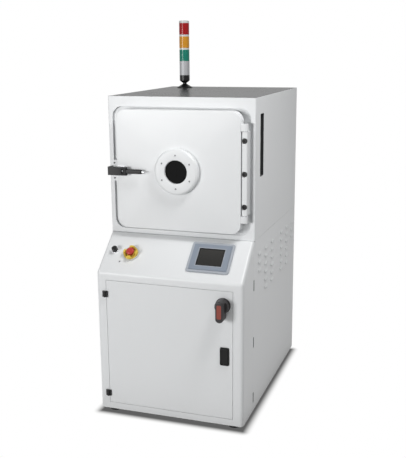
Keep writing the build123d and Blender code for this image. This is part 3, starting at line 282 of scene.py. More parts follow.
class Maker:
    """Builds one material: its nodes, links and sockets."""

    def __init__(self, name):
        self.material = bpy.data.materials.new(name)
        self.material.use_nodes = True
        self.tree = self.material.node_tree
        self.tree.nodes.clear()
        self.output = self.tree.nodes.new("ShaderNodeOutputMaterial")
        self.coords = self.node("ShaderNodeTexCoord").outputs["Object"]

    def node(self, kind, settings=None, sockets=None):
        node = self.tree.nodes.new(kind)
        for key, value in (settings or {}).items():
            setattr(node, key, value)
        for key, value in (sockets or {}).items():
            self.set(node.inputs[key], value)
        return node

    def set(self, socket, value):
        if isinstance(value, Value):
            value = value.socket
        if isinstance(value, bpy.types.NodeSocket):
            self.tree.links.new(value, socket)
        elif socket.type == "RGBA" and len(value) == 3:
            socket.default_value = (*value, 1)
        else:
            socket.default_value = value

    def surface(self, shader):
        self.set(self.output.inputs["Surface"], shader)
        return self.material

    def principled(self, **sockets):
        named = {key.replace("_", " "): value for key, value in sockets.items()}
        return self.surface(self.node("ShaderNodeBsdfPrincipled", {}, named).outputs[0])

    def scaled(self, scale):
        """Object coordinates through a Mapping node."""
        return self.node("ShaderNodeMapping", {}, {"Vector": self.coords, "Scale": scale}).outputs[0]

    def noise(self, scale, detail=2.0, roughness=0.5, vector=None):
        node = self.node("ShaderNodeTexNoise", {}, {
            "Vector": vector or self.coords, "Scale": scale, "Detail": detail, "Roughness": roughness})
        return Value(self, node.outputs["Fac"])

    def axis(self, name):
        node = self.node("ShaderNodeSeparateXYZ", {}, {0: self.coords})
        return Value(self, node.outputs[name])

    def beyond(self, name, low, high):
        """Distance past the middle of an interval on one axis, less half the interval."""
        return (self.axis(name) - (low + high) / 2).size() - (high - low) / 2

    def mix(self, factor, first, second):
        node = self.node("ShaderNodeMix", {"data_type": "RGBA"}, {0: factor, 6: first, 7: second})
        return node.outputs[2]

    def dusted(self, tone, amount):
        """A colour with a little dust on the cabinet's lowest part."""
        low = 1 - self.axis("Z").smooth(0.0, DUST_HEIGHT)
        return self.mix(low * self.noise(31.0, 3.0).smooth(0.45, 0.8) * amount, tone, DUST)

    def bump(self, height, distance, strength=1.0, normal=None):
        sockets = {"Height": height, "Distance": distance, "Strength": strength}
        if normal is not None:
            sockets["Normal"] = normal
        return self.node("ShaderNodeBump", {}, sockets).outputs[0]

    def soft_edge(self, radius):
        return self.node("ShaderNodeBevel", {"samples": 6}, {"Radius": radius}).outputs[0]


def shade(colour, factor):
    return tuple(min(1.0, c * factor) for c in colour)


def settings():
    scene = bpy.context.scene
    return scene.cleaner_sizes, scene.cleaner_colours, scene.cleaner_studio


# Finishes

def powder_coat(name, colour, rough=0.40, grime=0.05, gloss=0.5):
    """Powder-coated sheet: orange peel, faint handling marks and a little dust low down."""
    sizes = settings()[0]
    m = Maker(name)
    broad = m.noise(1.7, 3.0, 0.55)
    smudge = m.noise(9.0, 4.0, 0.62).smooth(0.50, 0.78)
    tone = m.mix(broad * 0.6, colour, shade(colour, 0.965))
    tone = m.mix(smudge * 0.06, tone, shade(colour, 0.90))
    peel = m.noise(sizes.peel_scale, 1.0, 0.4)
    roughness = rough + smudge * 0.05 + (peel - 0.5) * 0.05
    return m.principled(Base_Color=m.dusted(tone, grime), Roughness=roughness,
                        IOR=1.5, Specular_IOR_Level=gloss,
                        Normal=m.bump(peel, PEEL_DEPTH, 0.55, m.soft_edge(sizes.edge_round)))


def vented_coat(name, colour, face):
    """Powder-coated side sheet whose cut edges and inner face are painted near-black and less shiny: painted
    shade in its slots and louvres.
    """
    sizes = settings()[0]
    m = Maker(name)
    outer = m.axis("X").size().smooth(face - 0.0011, face - 0.0004)
    broad = m.noise(1.7, 3.0, 0.55)
    tone = m.dusted(m.mix(broad * 0.6, colour, shade(colour, 0.965)), 0.05)
    peel = m.noise(sizes.peel_scale, 1.0, 0.4)
    # Off the outer face the colour is painted shade, near-black, so the slots read dark
    return m.principled(Base_Color=m.mix(outer, PAINTED_SLOT_SHADE, tone), Roughness=0.40 + (peel - 0.5) * 0.05,
                        IOR=1.5, Specular_IOR_Level=0.2 + outer * 0.3,
                        Normal=m.bump(peel, PEEL_DEPTH, 0.55, m.soft_edge(sizes.edge_round)))


def brushed(name, colour, along=(4, 4, 900), rough=0.28, metallic=1.0):
    """Brushed or ground metal; the brush lines run across the largest scale."""
    m = Maker(name)
    lines = m.noise(1.0, 3.0, 0.6, m.scaled(along))
    blotch = m.noise(24.0, 3.0)
    tone = m.mix(lines * 0.55, colour, shade(colour, 0.80))
    tone = m.mix(blotch.smooth(0.45, 0.8) * 0.25, tone, shade(colour, 0.86))
    return m.principled(Base_Color=tone, Metallic=metallic, Roughness=rough + lines * 0.12 + blotch * 0.06,
                        Normal=m.bump(lines, 0.00003, 0.5, m.soft_edge(0.0006)))


def blasted(name, colour, rough=0.46):
    """Bead-blasted aluminium."""
    m = Maker(name)
    grain = m.noise(1500.0, 2.0)
    cloud = m.noise(9.0, 4.0, 0.6)
    tone = m.mix(cloud * 0.6, colour, shade(colour, 0.86))
    return m.principled(Base_Color=tone, Metallic=0.9, Roughness=rough + cloud * 0.1,
                        Normal=m.bump(grain, 0.00004, 0.5, m.soft_edge(0.0008)))


def moulded(name, colour, rough=0.45, grain_scale=900.0, coat=0.0, wear=0.35, gloss=0.5):
    """Moulded plastic with a fine leather grain and paler, rubbed edges."""
    m = Maker(name)
    grain = m.noise(grain_scale, 2.0, 0.55)
    cloud = m.noise(16.0, 3.0, 0.6)
    rubbed = m.noise(60.0, 4.0, 0.7).smooth(0.56, 0.82)
    tone = m.mix(cloud * 0.7, colour, shade(colour, 0.82))
    tone = m.mix(rubbed * wear * 0.3, tone, tuple(c + (1 - c) * 0.06 for c in colour))
    return m.principled(Base_Color=tone, Roughness=rough + rubbed * 0.08 + (grain - 0.5) * 0.08, IOR=1.48,
                        Coat_Weight=coat, Coat_Roughness=0.12, Specular_IOR_Level=gloss,
                        Normal=m.bump(grain, 0.00005, 0.6, m.soft_edge(0.0007)))


def rubber(name):
    """Black elastomer with a film of dust."""
    m = Maker(name)
    dust = m.noise(70.0, 4.0, 0.65).smooth(0.5, 0.8)
    tone = m.mix(dust * 0.35, (0.012, 0.012, 0.013), (0.060, 0.058, 0.055))
    return m.principled(Base_Color=tone, Roughness=0.62 + dust * 0.2,
                        Normal=m.bump(m.noise(1200.0, 2.0), 0.00005, 0.5))


def smoked_glass(name, tint):
    """Dark filter glass of the viewport, with a faint film of dust."""
    m = Maker(name)
    film = m.noise(7.0, 4.0, 0.6).smooth(0.5, 0.85)
    tone = m.mix(film * 0.4, tint, shade(tint, 0.8))
    return m.principled(Base_Color=tone, Roughness=0.02 + film * 0.04, IOR=1.25, Transmission_Weight=1.0,
                        Specular_IOR_Level=0.2, Normal=m.bump(film, 0.00001, 0.3))


def painted_flange(name, paint, metal, painted_from, seal):
    """Machined aluminium whose front flange is painted outside the seal."""
    m = Maker(name)
    low, high = seal
    outside = m.beyond("X", low.x, high.x).at_least(m.beyond("Z", low.z, high.z)).smooth(*SEAL_MARGIN)
    front = 1 - m.axis("Y").smooth(painted_from, painted_from + 0.001)
    coat = outside * front
    lines = m.noise(1.0, 3.0, 0.6, m.scaled((6, 500, 6)))
    bare = m.mix(lines * 0.55, metal, shade(metal, 0.8))
    peel = m.noise(620.0, 1.0, 0.4)
    return m.principled(Base_Color=m.mix(coat, bare, m.mix(peel * 0.2, paint, shade(paint, 0.95))),
                        Metallic=1 - coat, Roughness=0.34 + coat * 0.06 + lines * 0.08,
                        Normal=m.bump(peel, 0.00004, 0.4, m.soft_edge(0.0008)))


def screen_frame(name, raised, rim, box, glass):
    """Touchscreen surround: a pale outer rim, a darker raised frame and a pale inner edge."""
    m = Maker(name)
    rise = console_rise()
    centre = (glass[0] + glass[1]) / 2
    across = (m.axis("X") - centre.x).size()
    up = (m.axis("Y") * rise.y + m.axis("Z") * rise.z - centre.dot(rise)).size()
    half_width = (box[1].x - box[0].x) / 2
    inward = (half_width - across).at_most(half_width * SCREEN_FRAME_SHARE - up)
    glass_half = (glass[1].x - glass[0].x) / 2
    inner = (glass_half - across).at_most(glass_half * SCREEN_GLASS_SHARE - up)
    frame_part = inward.smooth(0.0098, 0.0118)
    lip = inner.smooth(-0.0048, -0.0030)
    tone = m.mix(frame_part, rim, raised)
    tone = m.mix(lip * 0.8, tone, shade(rim, 0.92))
    tone = m.mix(m.noise(40.0, 3.0) * 0.25, tone, shade(raised, 0.85))
    grain = m.noise(1100.0, 2.0, 0.55)
    return m.principled(Base_Color=tone, Roughness=0.42 + (grain - 0.5) * 0.08, IOR=1.48,
                        Normal=m.bump(grain, 0.00004, 0.5, m.soft_edge(0.0008)))


def lens_plastic(name, colour, centre):
    """Tinted lens: a deep clear colour with fine upright ribs inside."""
    m = Maker(name)
    angle = (m.axis("Y") - centre.y).angle_from(m.axis("X") - centre.x)
    rib = (angle * LENS_RIBS).sine() * 0.5 + 0.5
    cloud = m.noise(30.0, 2.0)
    tone = m.mix(rib * 0.35, colour, shade(colour, 0.72))
    tone = m.mix(cloud * 0.2, tone, shade(colour, 1.15))
    return m.principled(Base_Color=tone, Roughness=0.20 + rib * 0.04, IOR=1.49, Specular_IOR_Level=0.3,
                        Normal=m.bump(rib, 0.0001, 0.2, m.soft_edge(0.0006)))


def screen_glass(name, colour, box):
    """Idle display: dark, with a painted reflection that makes it paler towards the top, and a black border.
    """
    m = Maker(name)
    low, high = box
    across = (m.axis("X") - low.x) / (high.x - low.x)
    up = (m.axis("Z") - low.z) / (high.z - low.z)
    inside = (across.smooth(0.03, 0.06) * (1 - across.smooth(0.94, 0.97))
              * up.smooth(0.04, 0.08) * (1 - up.smooth(0.92, 0.96)))
    # Painted reflection: the glass grows paler towards its top edge
    painted_reflection = up.smooth(0.0, 1.2)
    tone = m.mix(painted_reflection, shade(colour, 0.8), shade(colour, 1.7))
    tone = m.mix(inside, SCREEN_BORDER, tone)
    smear = m.noise(40.0, 4.0, 0.65).smooth(0.5, 0.8)
    return m.principled(Base_Color=tone, Roughness=0.10 + smear * 0.10, IOR=1.5)


def finish(names, material, curved=True):
    """Gives CAD nodes one finish and, where they have curves, shades these smoothly."""
    for name in names:
        node = NODES[name]
        node.data.materials.clear()
        node.data.materials.append(material)
        if curved:
            smooth_cad(node)


def smooth_cad(node):
    """Joins a CAD node's loose triangles and shades them smoothly up to its sharp edges."""
    node.data.polygons.foreach_set("use_smooth", [True] * len(node.data.polygons))
    weld = node.modifiers.new("Join", "WELD")
    weld.merge_threshold = CAD_WELD
    edges = node.modifiers.new("Edges", "EDGE_SPLIT")
    edges.split_angle = math.radians(SMOOTH_ANGLE)
    edges.use_edge_sharp = False


# Mesh helpers

def add_object(name, data):
    """An object in the scene at the origin."""
    item = bpy.data.objects.new(name, data)
    bpy.context.scene.collection.objects.link(item)
    return item


def new_piece(name, mesh, material, body):
    """A finished mesh as a piece that rides on a body."""
    piece = add_object(name, mesh)
    mesh.materials.clear()
    mesh.materials.append(material)
    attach(piece, body)
    return piece


def mesh_from(bm, name, smooth_angle=SMOOTH_ANGLE):
    """Merges doubles, turns faces outwards and shades by angle."""
    bmesh.ops.remove_doubles(bm, verts=bm.verts, dist=0.0000005)
    bmesh.ops.recalc_face_normals(bm, faces=bm.faces)
    limit = math.radians(smooth_angle)
    for face in bm.faces:
        face.smooth = True
    for edge in bm.edges:
        edge.smooth = not edge.is_manifold or edge.calc_face_angle(0.0) < limit
    mesh = bpy.data.meshes.new(name)
    bm.to_mesh(mesh)
    bm.free()
    return mesh


def facing(direction, place=(0, 0, 0)):
    """Matrix that turns local +Z to a direction and moves to a place."""
    turn = Vector(direction).to_track_quat("Z", "Y").to_matrix().to_4x4()
    return Matrix.Translation(Vector(place)) @ turn


def turns(count):
    """Evenly spaced angles once round."""
    return [2 * math.pi * k / count for k in range(count)]


def about_z(radius, angle, height=0.0):
    """A point at a radius and an angle about Z."""
    return Vector((radius * math.cos(angle), radius * math.sin(angle), height))


def about_y(centre, radius, angle, y):
    """A point at a radius and an angle about a centre, in the upright plane at y."""
    return Vector((centre.x + radius * math.cos(angle), y, centre.z + radius * math.sin(angle)))


def lathe(bm, outline, segments, matrix=Matrix.Identity(4)):
    """Turns (radius, height) points about local Z; ends on the axis close themselves."""
    rings = []
    for radius, height in outline:
        angles = turns(segments) if radius else [0.0]
        rings.append([bm.verts.new(matrix @ about_z(radius, angle, height)) for angle in angles])
    for lower, upper in zip(rings, rings[1:]):
        join_rings(bm, lower, upper)
    return rings


def join_rings(bm, lower, upper):
    """Faces between two rings; either may be a single point."""
    count = max(len(lower), len(upper))
    for k in range(count):
        n = (k + 1) % count
        corners = [lower[k % len(lower)], lower[n % len(lower)],
                   upper[n % len(upper)], upper[k % len(upper)]]
        distinct = list(dict.fromkeys(corners))
        if len(distinct) >= 3:
            bm.faces.new(distinct)


def sweep(bm, points, radius, closed=False, sides=8):
    """Round wire along points."""
    rings = []
    count = len(points)
    for k, point in enumerate(points):
        before = points[k - 1] if closed or k else point
        after = points[(k + 1) % count] if closed or k < count - 1 else point
        turn = (after - before).to_track_quat("Z", "Y").to_matrix()
        rings.append([bm.verts.new(point + turn @ about_z(radius, angle)) for angle in turns(sides)])
    for lower, upper in zip(rings, rings[1:]):
        join_nearest(bm, lower, upper)
    if closed:
        join_nearest(bm, rings[-1], rings[0])
    else:
        bm.faces.new(list(reversed(rings[0])))
        bm.faces.new(rings[-1])


def join_nearest(bm, lower, upper):
    """Joins two rings with the second turned so that its vertices meet their nearest."""
    start = min(range(len(upper)), key=lambda j: (upper[j].co - lower[0].co).length)
    join_rings(bm, lower, upper[start:] + upper[:start])


def drive_radius(kind, size, angle):
    """Radius of a screw's recess at an angle: a hexagon, or a cross with four short wings."""
    if kind == "hex":
        return size / math.cos((angle % (math.pi / 3)) - math.pi / 6)
    turn = angle % (math.pi / 2)
    return size if min(turn, math.pi / 2 - turn) < 0.27 else size * 0.42


def screw_head(name, kind):
    """A unit screw head (radius 1, height along +Z) with a hexagon or cross recess."""
    bm = bmesh.new()
    tall, size, depth = HEADS[kind]
    if kind == "hex":
        outline = [(1.0, 0.0), (1.0, tall - 0.12), (0.90, tall), (0.66, tall)]
    else:
        outline = [(1.0, 0.0), (1.0, 0.14), (0.93, 0.30), (0.76, tall - 0.06), (0.62, tall)]
    rings = lathe(bm, outline, HEAD_SEGMENTS)
    mouth, floor = [], []
    for angle in turns(HEAD_SEGMENTS):
        flat = about_z(drive_radius(kind, size, angle), angle)
        mouth.append(bm.verts.new(flat + Vector((0, 0, tall))))
        floor.append(bm.verts.new(flat * 0.96 + Vector((0, 0, tall - depth))))
    join_rings(bm, rings[-1], mouth)
    join_rings(bm, mouth, floor)
    bm.faces.new(floor)
    bm.faces.new(list(reversed(rings[0])))
    return add_object(name, mesh_from(bm, name, 40))


def hardware_tree(name, material):
    """Geometry Nodes: stands a copy of the head on every point, sized and turned, then made real."""
    tree = bpy.data.node_groups.new(name, "GeometryNodeTree")
    face = tree.interface
    face.new_socket("Geometry", in_out="INPUT", socket_type="NodeSocketGeometry")
    inputs = {}
    for label, kind in (("Head", "NodeSocketObject"), ("Head radius", "NodeSocketFloat"),
                        ("Facing", "NodeSocketVector"), ("Turn variation", "NodeSocketFloat"),
                        ("Seed", "NodeSocketInt")):
        inputs[label] = face.new_socket(label, in_out="INPUT", socket_type=kind).identifier
    face.new_socket("Geometry", in_out="OUTPUT", socket_type="NodeSocketGeometry")
    add = tree.nodes.new
    link = tree.links.new
    group_in, group_out = add("NodeGroupInput"), add("NodeGroupOutput")
    info, place = add("GeometryNodeObjectInfo"), add("GeometryNodeInstanceOnPoints")
    align, spin = add("FunctionNodeAlignRotationToVector"), add("FunctionNodeRotateRotation")
    chance, euler = add("FunctionNodeRandomValue"), add("FunctionNodeEulerToRotation")
    combine, real = add("ShaderNodeCombineXYZ"), add("GeometryNodeRealizeInstances")
    paint = add("GeometryNodeSetMaterial")
    align.axis = "Z"
    spin.rotation_space = "LOCAL"
    chance.data_type = "FLOAT"
    value_in = [s for s in chance.inputs if s.type == "VALUE"]
    link(group_in.outputs["Turn variation"], value_in[1])
    link(group_in.outputs["Seed"], chance.inputs["Seed"])
    link([s for s in chance.outputs if s.type == "VALUE"][0], combine.inputs[2])
    link(combine.outputs[0], euler.inputs[0])
    link(group_in.outputs["Facing"], align.inputs["Vector"])
    link(align.outputs[0], spin.inputs[0])
    link(euler.outputs[0], spin.inputs[1])
    link(group_in.outputs["Head"], info.inputs[0])
    link(group_in.outputs["Geometry"], place.inputs["Points"])
    link(info.outputs["Geometry"], place.inputs["Instance"])
    link(spin.outputs[0], place.inputs["Rotation"])
    link(group_in.outputs["Head radius"], place.inputs["Scale"])
    link(place.outputs[0], real.inputs[0])
    link(real.outputs[0], paint.inputs["Geometry"])
    link(paint.outputs[0], group_out.inputs[0])
    paint.inputs["Material"].default_value = material
    return tree, inputs


def stand_screws(name, points, direction, radius, kind, material, body, seed):
    """Screws of one size on one body, each on its own point."""
    head = screw_head(name + "_head", kind)
    base = bpy.data.meshes.new(name + "_points")
    base.from_pydata([tuple(p) for p in points], [], [])
    holder = add_object(name + "_holder", base)
    tree, inputs = hardware_tree(name + "_tree", material)
    modifier = holder.modifiers.new("Stand", "NODES")
    modifier.node_group = tree
    for label, value in (("Head", head), ("Head radius", radius), ("Facing", tuple(direction)),
                         ("Turn variation", 6.283), ("Seed", seed)):
        modifier[inputs[label]] = value
    bpy.context.view_layer.update()
    evaluated = holder.evaluated_get(bpy.context.evaluated_depsgraph_get())
    mesh = bpy.data.meshes.new_from_object(evaluated)
    holder.modifiers.remove(modifier)
    bpy.data.objects.remove(holder)
    bpy.data.objects.remove(head)
    if not mesh.polygons:
        raise RuntimeError(f"{name} has no screws")
    return new_piece(name, mesh, material, body)


# Pieces

class PaintCabinet(bpy.types.Operator):
    """Powder coats the panels, the roof, the console and the frame"""

    bl_idname = "cleaner.paint_cabinet"
    bl_label = "Paint cabinet"

    def execute(self, context):
        colours = settings()[1]
        paint = tuple(colours.paint)
        finish(["side_panel_lower_left", "side_panel_lower_right"],
               vented_coat("vented_powder_coat", paint, span("upper_front_panel")[1].x))
        finish(["side_panel_upper_left", "side_panel_upper_right", "rear_panels", "upper_front_panel",
                "front_bezel", "lower_door"], powder_coat("cabinet_powder_coat", paint))
        finish(["top_panel"],
               powder_coat("roof_gloss_paint", tuple(colours.roof), rough=0.24, grime=0.0, gloss=0.3))
        # Near-black paint on the frame and base pan; on the base pan it is also painted shade for the dark
        # gap under the cabinet
        finish(["cabinet_frame", "base_pan"],
               powder_coat("frame_black_paint_and_base_shade", (0.020, 0.021, 0.023), rough=0.5, grime=0.2), curved=False)
        finish(["side_pull_pockets"], moulded("pull_pocket_plastic", (0.028, 0.029, 0.031), rough=0.6))
        finish(["levelling_feet"], moulded("foot_rubber", tuple(colours.black), rough=0.7))
        return {"FINISHED"}


class FinishChamber(bpy.types.Operator):
    """Machined chamber, seal, shelves and their racks"""

    bl_idname = "cleaner.finish_chamber"
    bl_label = "Finish chamber"

    def execute(self, context):
        paint = tuple(settings()[1].paint)
        behind = span("vacuum_chamber")[0].y + FLANGE_PAINT_DEPTH
        finish(["vacuum_chamber"],
               painted_flange("chamber_machined", paint, MACHINED, behind, span("door_seal")))
        finish(["shelf_electrodes"], blasted("shelf_aluminium", (0.66, 0.67, 0.69)))
        finish(["electrode_rails"], moulded("rack_polymer", (0.70, 0.69, 0.64), rough=0.5, wear=0.1))
        finish(["door_seal"], rubber("seal_elastomer"))
        return {"FINISHED"}


class FinishChamberDoor(bpy.types.Operator):
    """Chamber door, hinge, viewport flange and glass"""

    bl_idname = "cleaner.finish_chamber_door"
    bl_label = "Finish chamber door"

    def execute(self, context):
        sizes, colours, _ = settings()
        coat = powder_coat("door_powder_coat", shade(tuple(colours.paint), 1.01), rough=0.36)
        finish(["door_cover", "door_hinge_ears", "hinge_block", "latch_keeper", "viewport_flange"], coat)
        finish(["door_plate"], brushed("door_plate_machined", MACHINED, (400, 5, 5), rough=0.33))
        finish(["hinge_pins"], brushed("hinge_pin_steel", (0.50, 0.51, 0.53), (5, 5, 600)))
        finish(["viewport_glass"], smoked_glass("viewport_pane", (0.030, 0.036, 0.045)))
        black = moulded("black_oxide_screw", (0.010, 0.010, 0.011), rough=0.38, grain_scale=1500, gloss=0.35)
        low, high = span("hinge_block")
        sunk = HEADS["hex"][0] * sizes.hinge_screw_radius - HINGE_SCREW_PROUD
        points = [((low.x + high.x) / 2, low.y + sunk, (low.z + high.z) / 2 + step)
                  for step in (-HINGE_SCREW_STEP, 0.0, HINGE_SCREW_STEP)]
        stand_screws("hinge_block_screws", points, FRONT, sizes.hinge_screw_radius, "hex", black, "cabinet",
                     3)
        front = span("viewport_flange")[0].y + FLANGE_SCREW_SEAT
        centre = middle("viewport_glass")
        points = [about_y(centre, sizes.flange_screw_circle, math.radians(90 + 60 * k), front)
                  for k in range(6)]
        stand_screws("viewport_screws", points, FRONT, sizes.flange_screw_radius, "hex", black,
                     "chamber_door", 4)
        return {"FINISHED"}


class FinishLatch(bpy.types.Operator):
    """Toggle latch: steel base, black lever and claw, keeper screws"""

    bl_idname = "cleaner.finish_latch"
    bl_label = "Finish toggle latch"

    def execute(self, context):
        sizes, colours, _ = settings()
        finish(["latch_base"], brushed("latch_base_steel", (0.68, 0.69, 0.71), (5, 5, 700), rough=0.24))
        finish(["latch_lever", "latch_claw"],
               moulded("latch_black", tuple(colours.black), rough=0.42, gloss=0.3))
        black = moulded("keeper_screw_black", (0.015, 0.015, 0.016), rough=0.36, grain_scale=1500)
        low, high = span("latch_keeper")
        x = (low.x + high.x) / 2
        front = low.y + KEEPER_SCREW_SEAT
        points = [(x, front, high.z - KEEPER_SCREW_INSET), (x, front, low.z + KEEPER_SCREW_INSET)]
        stand_screws("keeper_screws", points, FRONT, sizes.small_screw_radius, "hex", black, "cabinet",
                     5)
        self.lever_tip(sizes)
        return {"FINISHED"}

    def lever_tip(self, sizes):
        """Short steel pin with a rounded end, pressed into the lever's grip."""
        low, high = span("latch_lever")
        grip_y = JOINTS["latch_claw_swing"]["pos_m"][1]
        seat = facing((1, 0, 0), (high.x - LEVER_TIP_SEATED, grip_y, (low.z + high.z) / 2))
        long = sizes.lever_tip + LEVER_TIP_SEATED
        bm = bmesh.new()
        lathe(bm, [(0.0, 0.0), (0.0030, 0.0), (0.0030, long - 0.007), (0.0042, long - 0.0055),
                   (0.0044, long - 0.003), (0.0034, long - 0.0008), (0.0, long)], 24, seat)
        steel = brushed("lever_tip_steel", (0.70, 0.71, 0.72), (5, 700, 5), rough=0.22)
        new_piece("latch_lever_tip", mesh_from(bm, "latch_lever_tip"), steel, "latch_lever")


class FinishServiceDoor(bpy.types.Operator):
    """Hinges, disconnect and paddle latch of the lower door"""

    bl_idname = "cleaner.finish_service_door"
    bl_label = "Finish service door"

    def execute(self, context):
        colours = settings()[1]
        black = tuple(colours.black)
        finish(["cabinet_hinge_halves", "door_hinge_halves"],
               moulded("hinge_black", black, rough=0.45, gloss=0.35))
        finish(["paddle_housing", "paddle"], moulded("paddle_latch_black", black, rough=0.42, gloss=0.25))
        finish(["paddle_bolt", "disconnect_shaft"],
               brushed("plated_steel", (0.55, 0.55, 0.56), (500, 5, 5)))
        finish(["disconnect_plate"],
               moulded("disconnect_escutcheon", (0.022, 0.020, 0.021), rough=0.38, gloss=0.4))
        finish(["disconnect_handle"],
               moulded("disconnect_handle_black", (0.030, 0.026, 0.027), rough=0.40, gloss=0.4))
        finish(["disconnect_insert"],
               moulded("disconnect_insert_orange", tuple(colours.insert), rough=0.4))
        finish(["disconnect_switch"], moulded("switch_body_black", (0.03, 0.03, 0.033), rough=0.5))
        return {"FINISHED"}


class FinishConsole(bpy.types.Operator):
    """Touchscreen, emergency stop, power button and indicator"""

    bl_idname = "cleaner.finish_console"
    bl_label = "Finish console"

    def execute(self, context):
        sizes, colours, _ = settings()
        glass = span("touchscreen_glass")
        finish(["touchscreen_bezel"],
               screen_frame("screen_frame_grey", tuple(colours.bezel), tuple(colours.rim),
                            span("touchscreen_bezel"), glass))
        finish(["touchscreen_glass"], screen_glass("screen_idle", tuple(colours.screen), glass))
        finish(["estop_base_ring"], moulded("stop_ring_pale", (0.62, 0.62, 0.58), rough=0.4))
        finish(["estop_guard"], moulded("stop_guard_yellow", tuple(colours.guard), rough=0.38, wear=0.1))
        finish(["estop_button"],
               moulded("stop_red", tuple(colours.stop), rough=0.26, coat=0.3, wear=0.1))
        finish(["power_button_bezel"],
               brushed("button_chrome", (0.80, 0.80, 0.82), (60, 60, 60), rough=0.12))
        finish(["power_button"], moulded("button_black", tuple(colours.black), rough=0.3))
        finish(["button_contact_blocks"], moulded("contact_block_grey", (0.16, 0.17, 0.18)))
        self.indicator(sizes)
        return {"FINISHED"}

    def indicator(self, sizes):
        """Small pilot lamp below the buttons: a pale ring round a dark lens."""
        seat = facing(console_out(), console_spot(*INDICATOR_PLACE))
        r = sizes.lamp_radius
        bm = bmesh.new()
        lathe(bm, [(0.0, -0.001), (r, -0.001), (r, 0.0008), (r * 0.90, 0.0016), (r * 0.62, 0.0016),
                   (r * 0.58, 0.0004), (0.0, 0.0004)], 28, seat)
        ring = brushed("indicator_ring_metal", (0.78, 0.79, 0.80), (40, 40, 40), rough=0.25)
        new_piece("indicator_ring", mesh_from(bm, "indicator_ring"), ring, "cabinet")
        bm = bmesh.new()
        lathe(bm, [(0.0, 0.0), (r * 0.56, 0.0), (r * 0.54, 0.0014), (r * 0.36, 0.0026), (0.0, 0.0031)],
              24, seat)
        lens = moulded("indicator_lens_dark", (0.020, 0.022, 0.022), rough=0.2, grain_scale=400, wear=0.0)
        new_piece("indicator_lens", mesh_from(bm, "indicator_lens"), lens, "cabinet")


class FinishTower(bpy.types.Operator):
    """Tower light: black foot, silver body, three lenses"""

    bl_idname = "cleaner.finish_tower"
    bl_label = "Finish tower light"

    def execute(self, context):
        colours = settings()[1]
        centre = middle("tower_body")
        finish(["tower_base"], moulded("tower_foot_black", tuple(colours.black), rough=0.36, gloss=0.4))
        finish(["tower_body"],
               brushed("tower_body_silver", (0.46, 0.465, 0.48), (4, 4, 500), rough=0.46, metallic=0.4))
        finish(["tower_rings"], moulded("tower_ring_clear", (0.60, 0.61, 0.60), rough=0.3, wear=0.0))
        for name in ("lens_green", "lens_amber", "lens_red"):
            finish(["tower_" + name], lens_plastic(name, tuple(getattr(colours, name)), centre))
        return {"FINISHED"}


class FinishServices(bpy.types.Operator):
    """Generator, matching network, controls, gas, vacuum and fan"""

    bl_idname = "cleaner.finish_services"
    bl_label = "Finish services"

    def execute(self, context):
        finish(["rf_generator"], powder_coat("generator_paint", (0.12, 0.13, 0.145), rough=0.45))
        finish(["matching_network"], blasted("shield_box", (0.60, 0.61, 0.62), rough=0.4))
        finish(["control_module"], moulded("module_grey", (0.13, 0.15, 0.17)))
        finish(["gas_panel", "vacuum_line"], brushed("polished_tube", MACHINED, (5, 5, 300), rough=0.22))
        finish(["vacuum_valve"], blasted("valve_body", (0.36, 0.40, 0.47), rough=0.4))
        finish(["fan_frame", "fan_rotor"], moulded("fan_plastic", (0.02, 0.02, 0.022)))
        return {"FINISHED"}


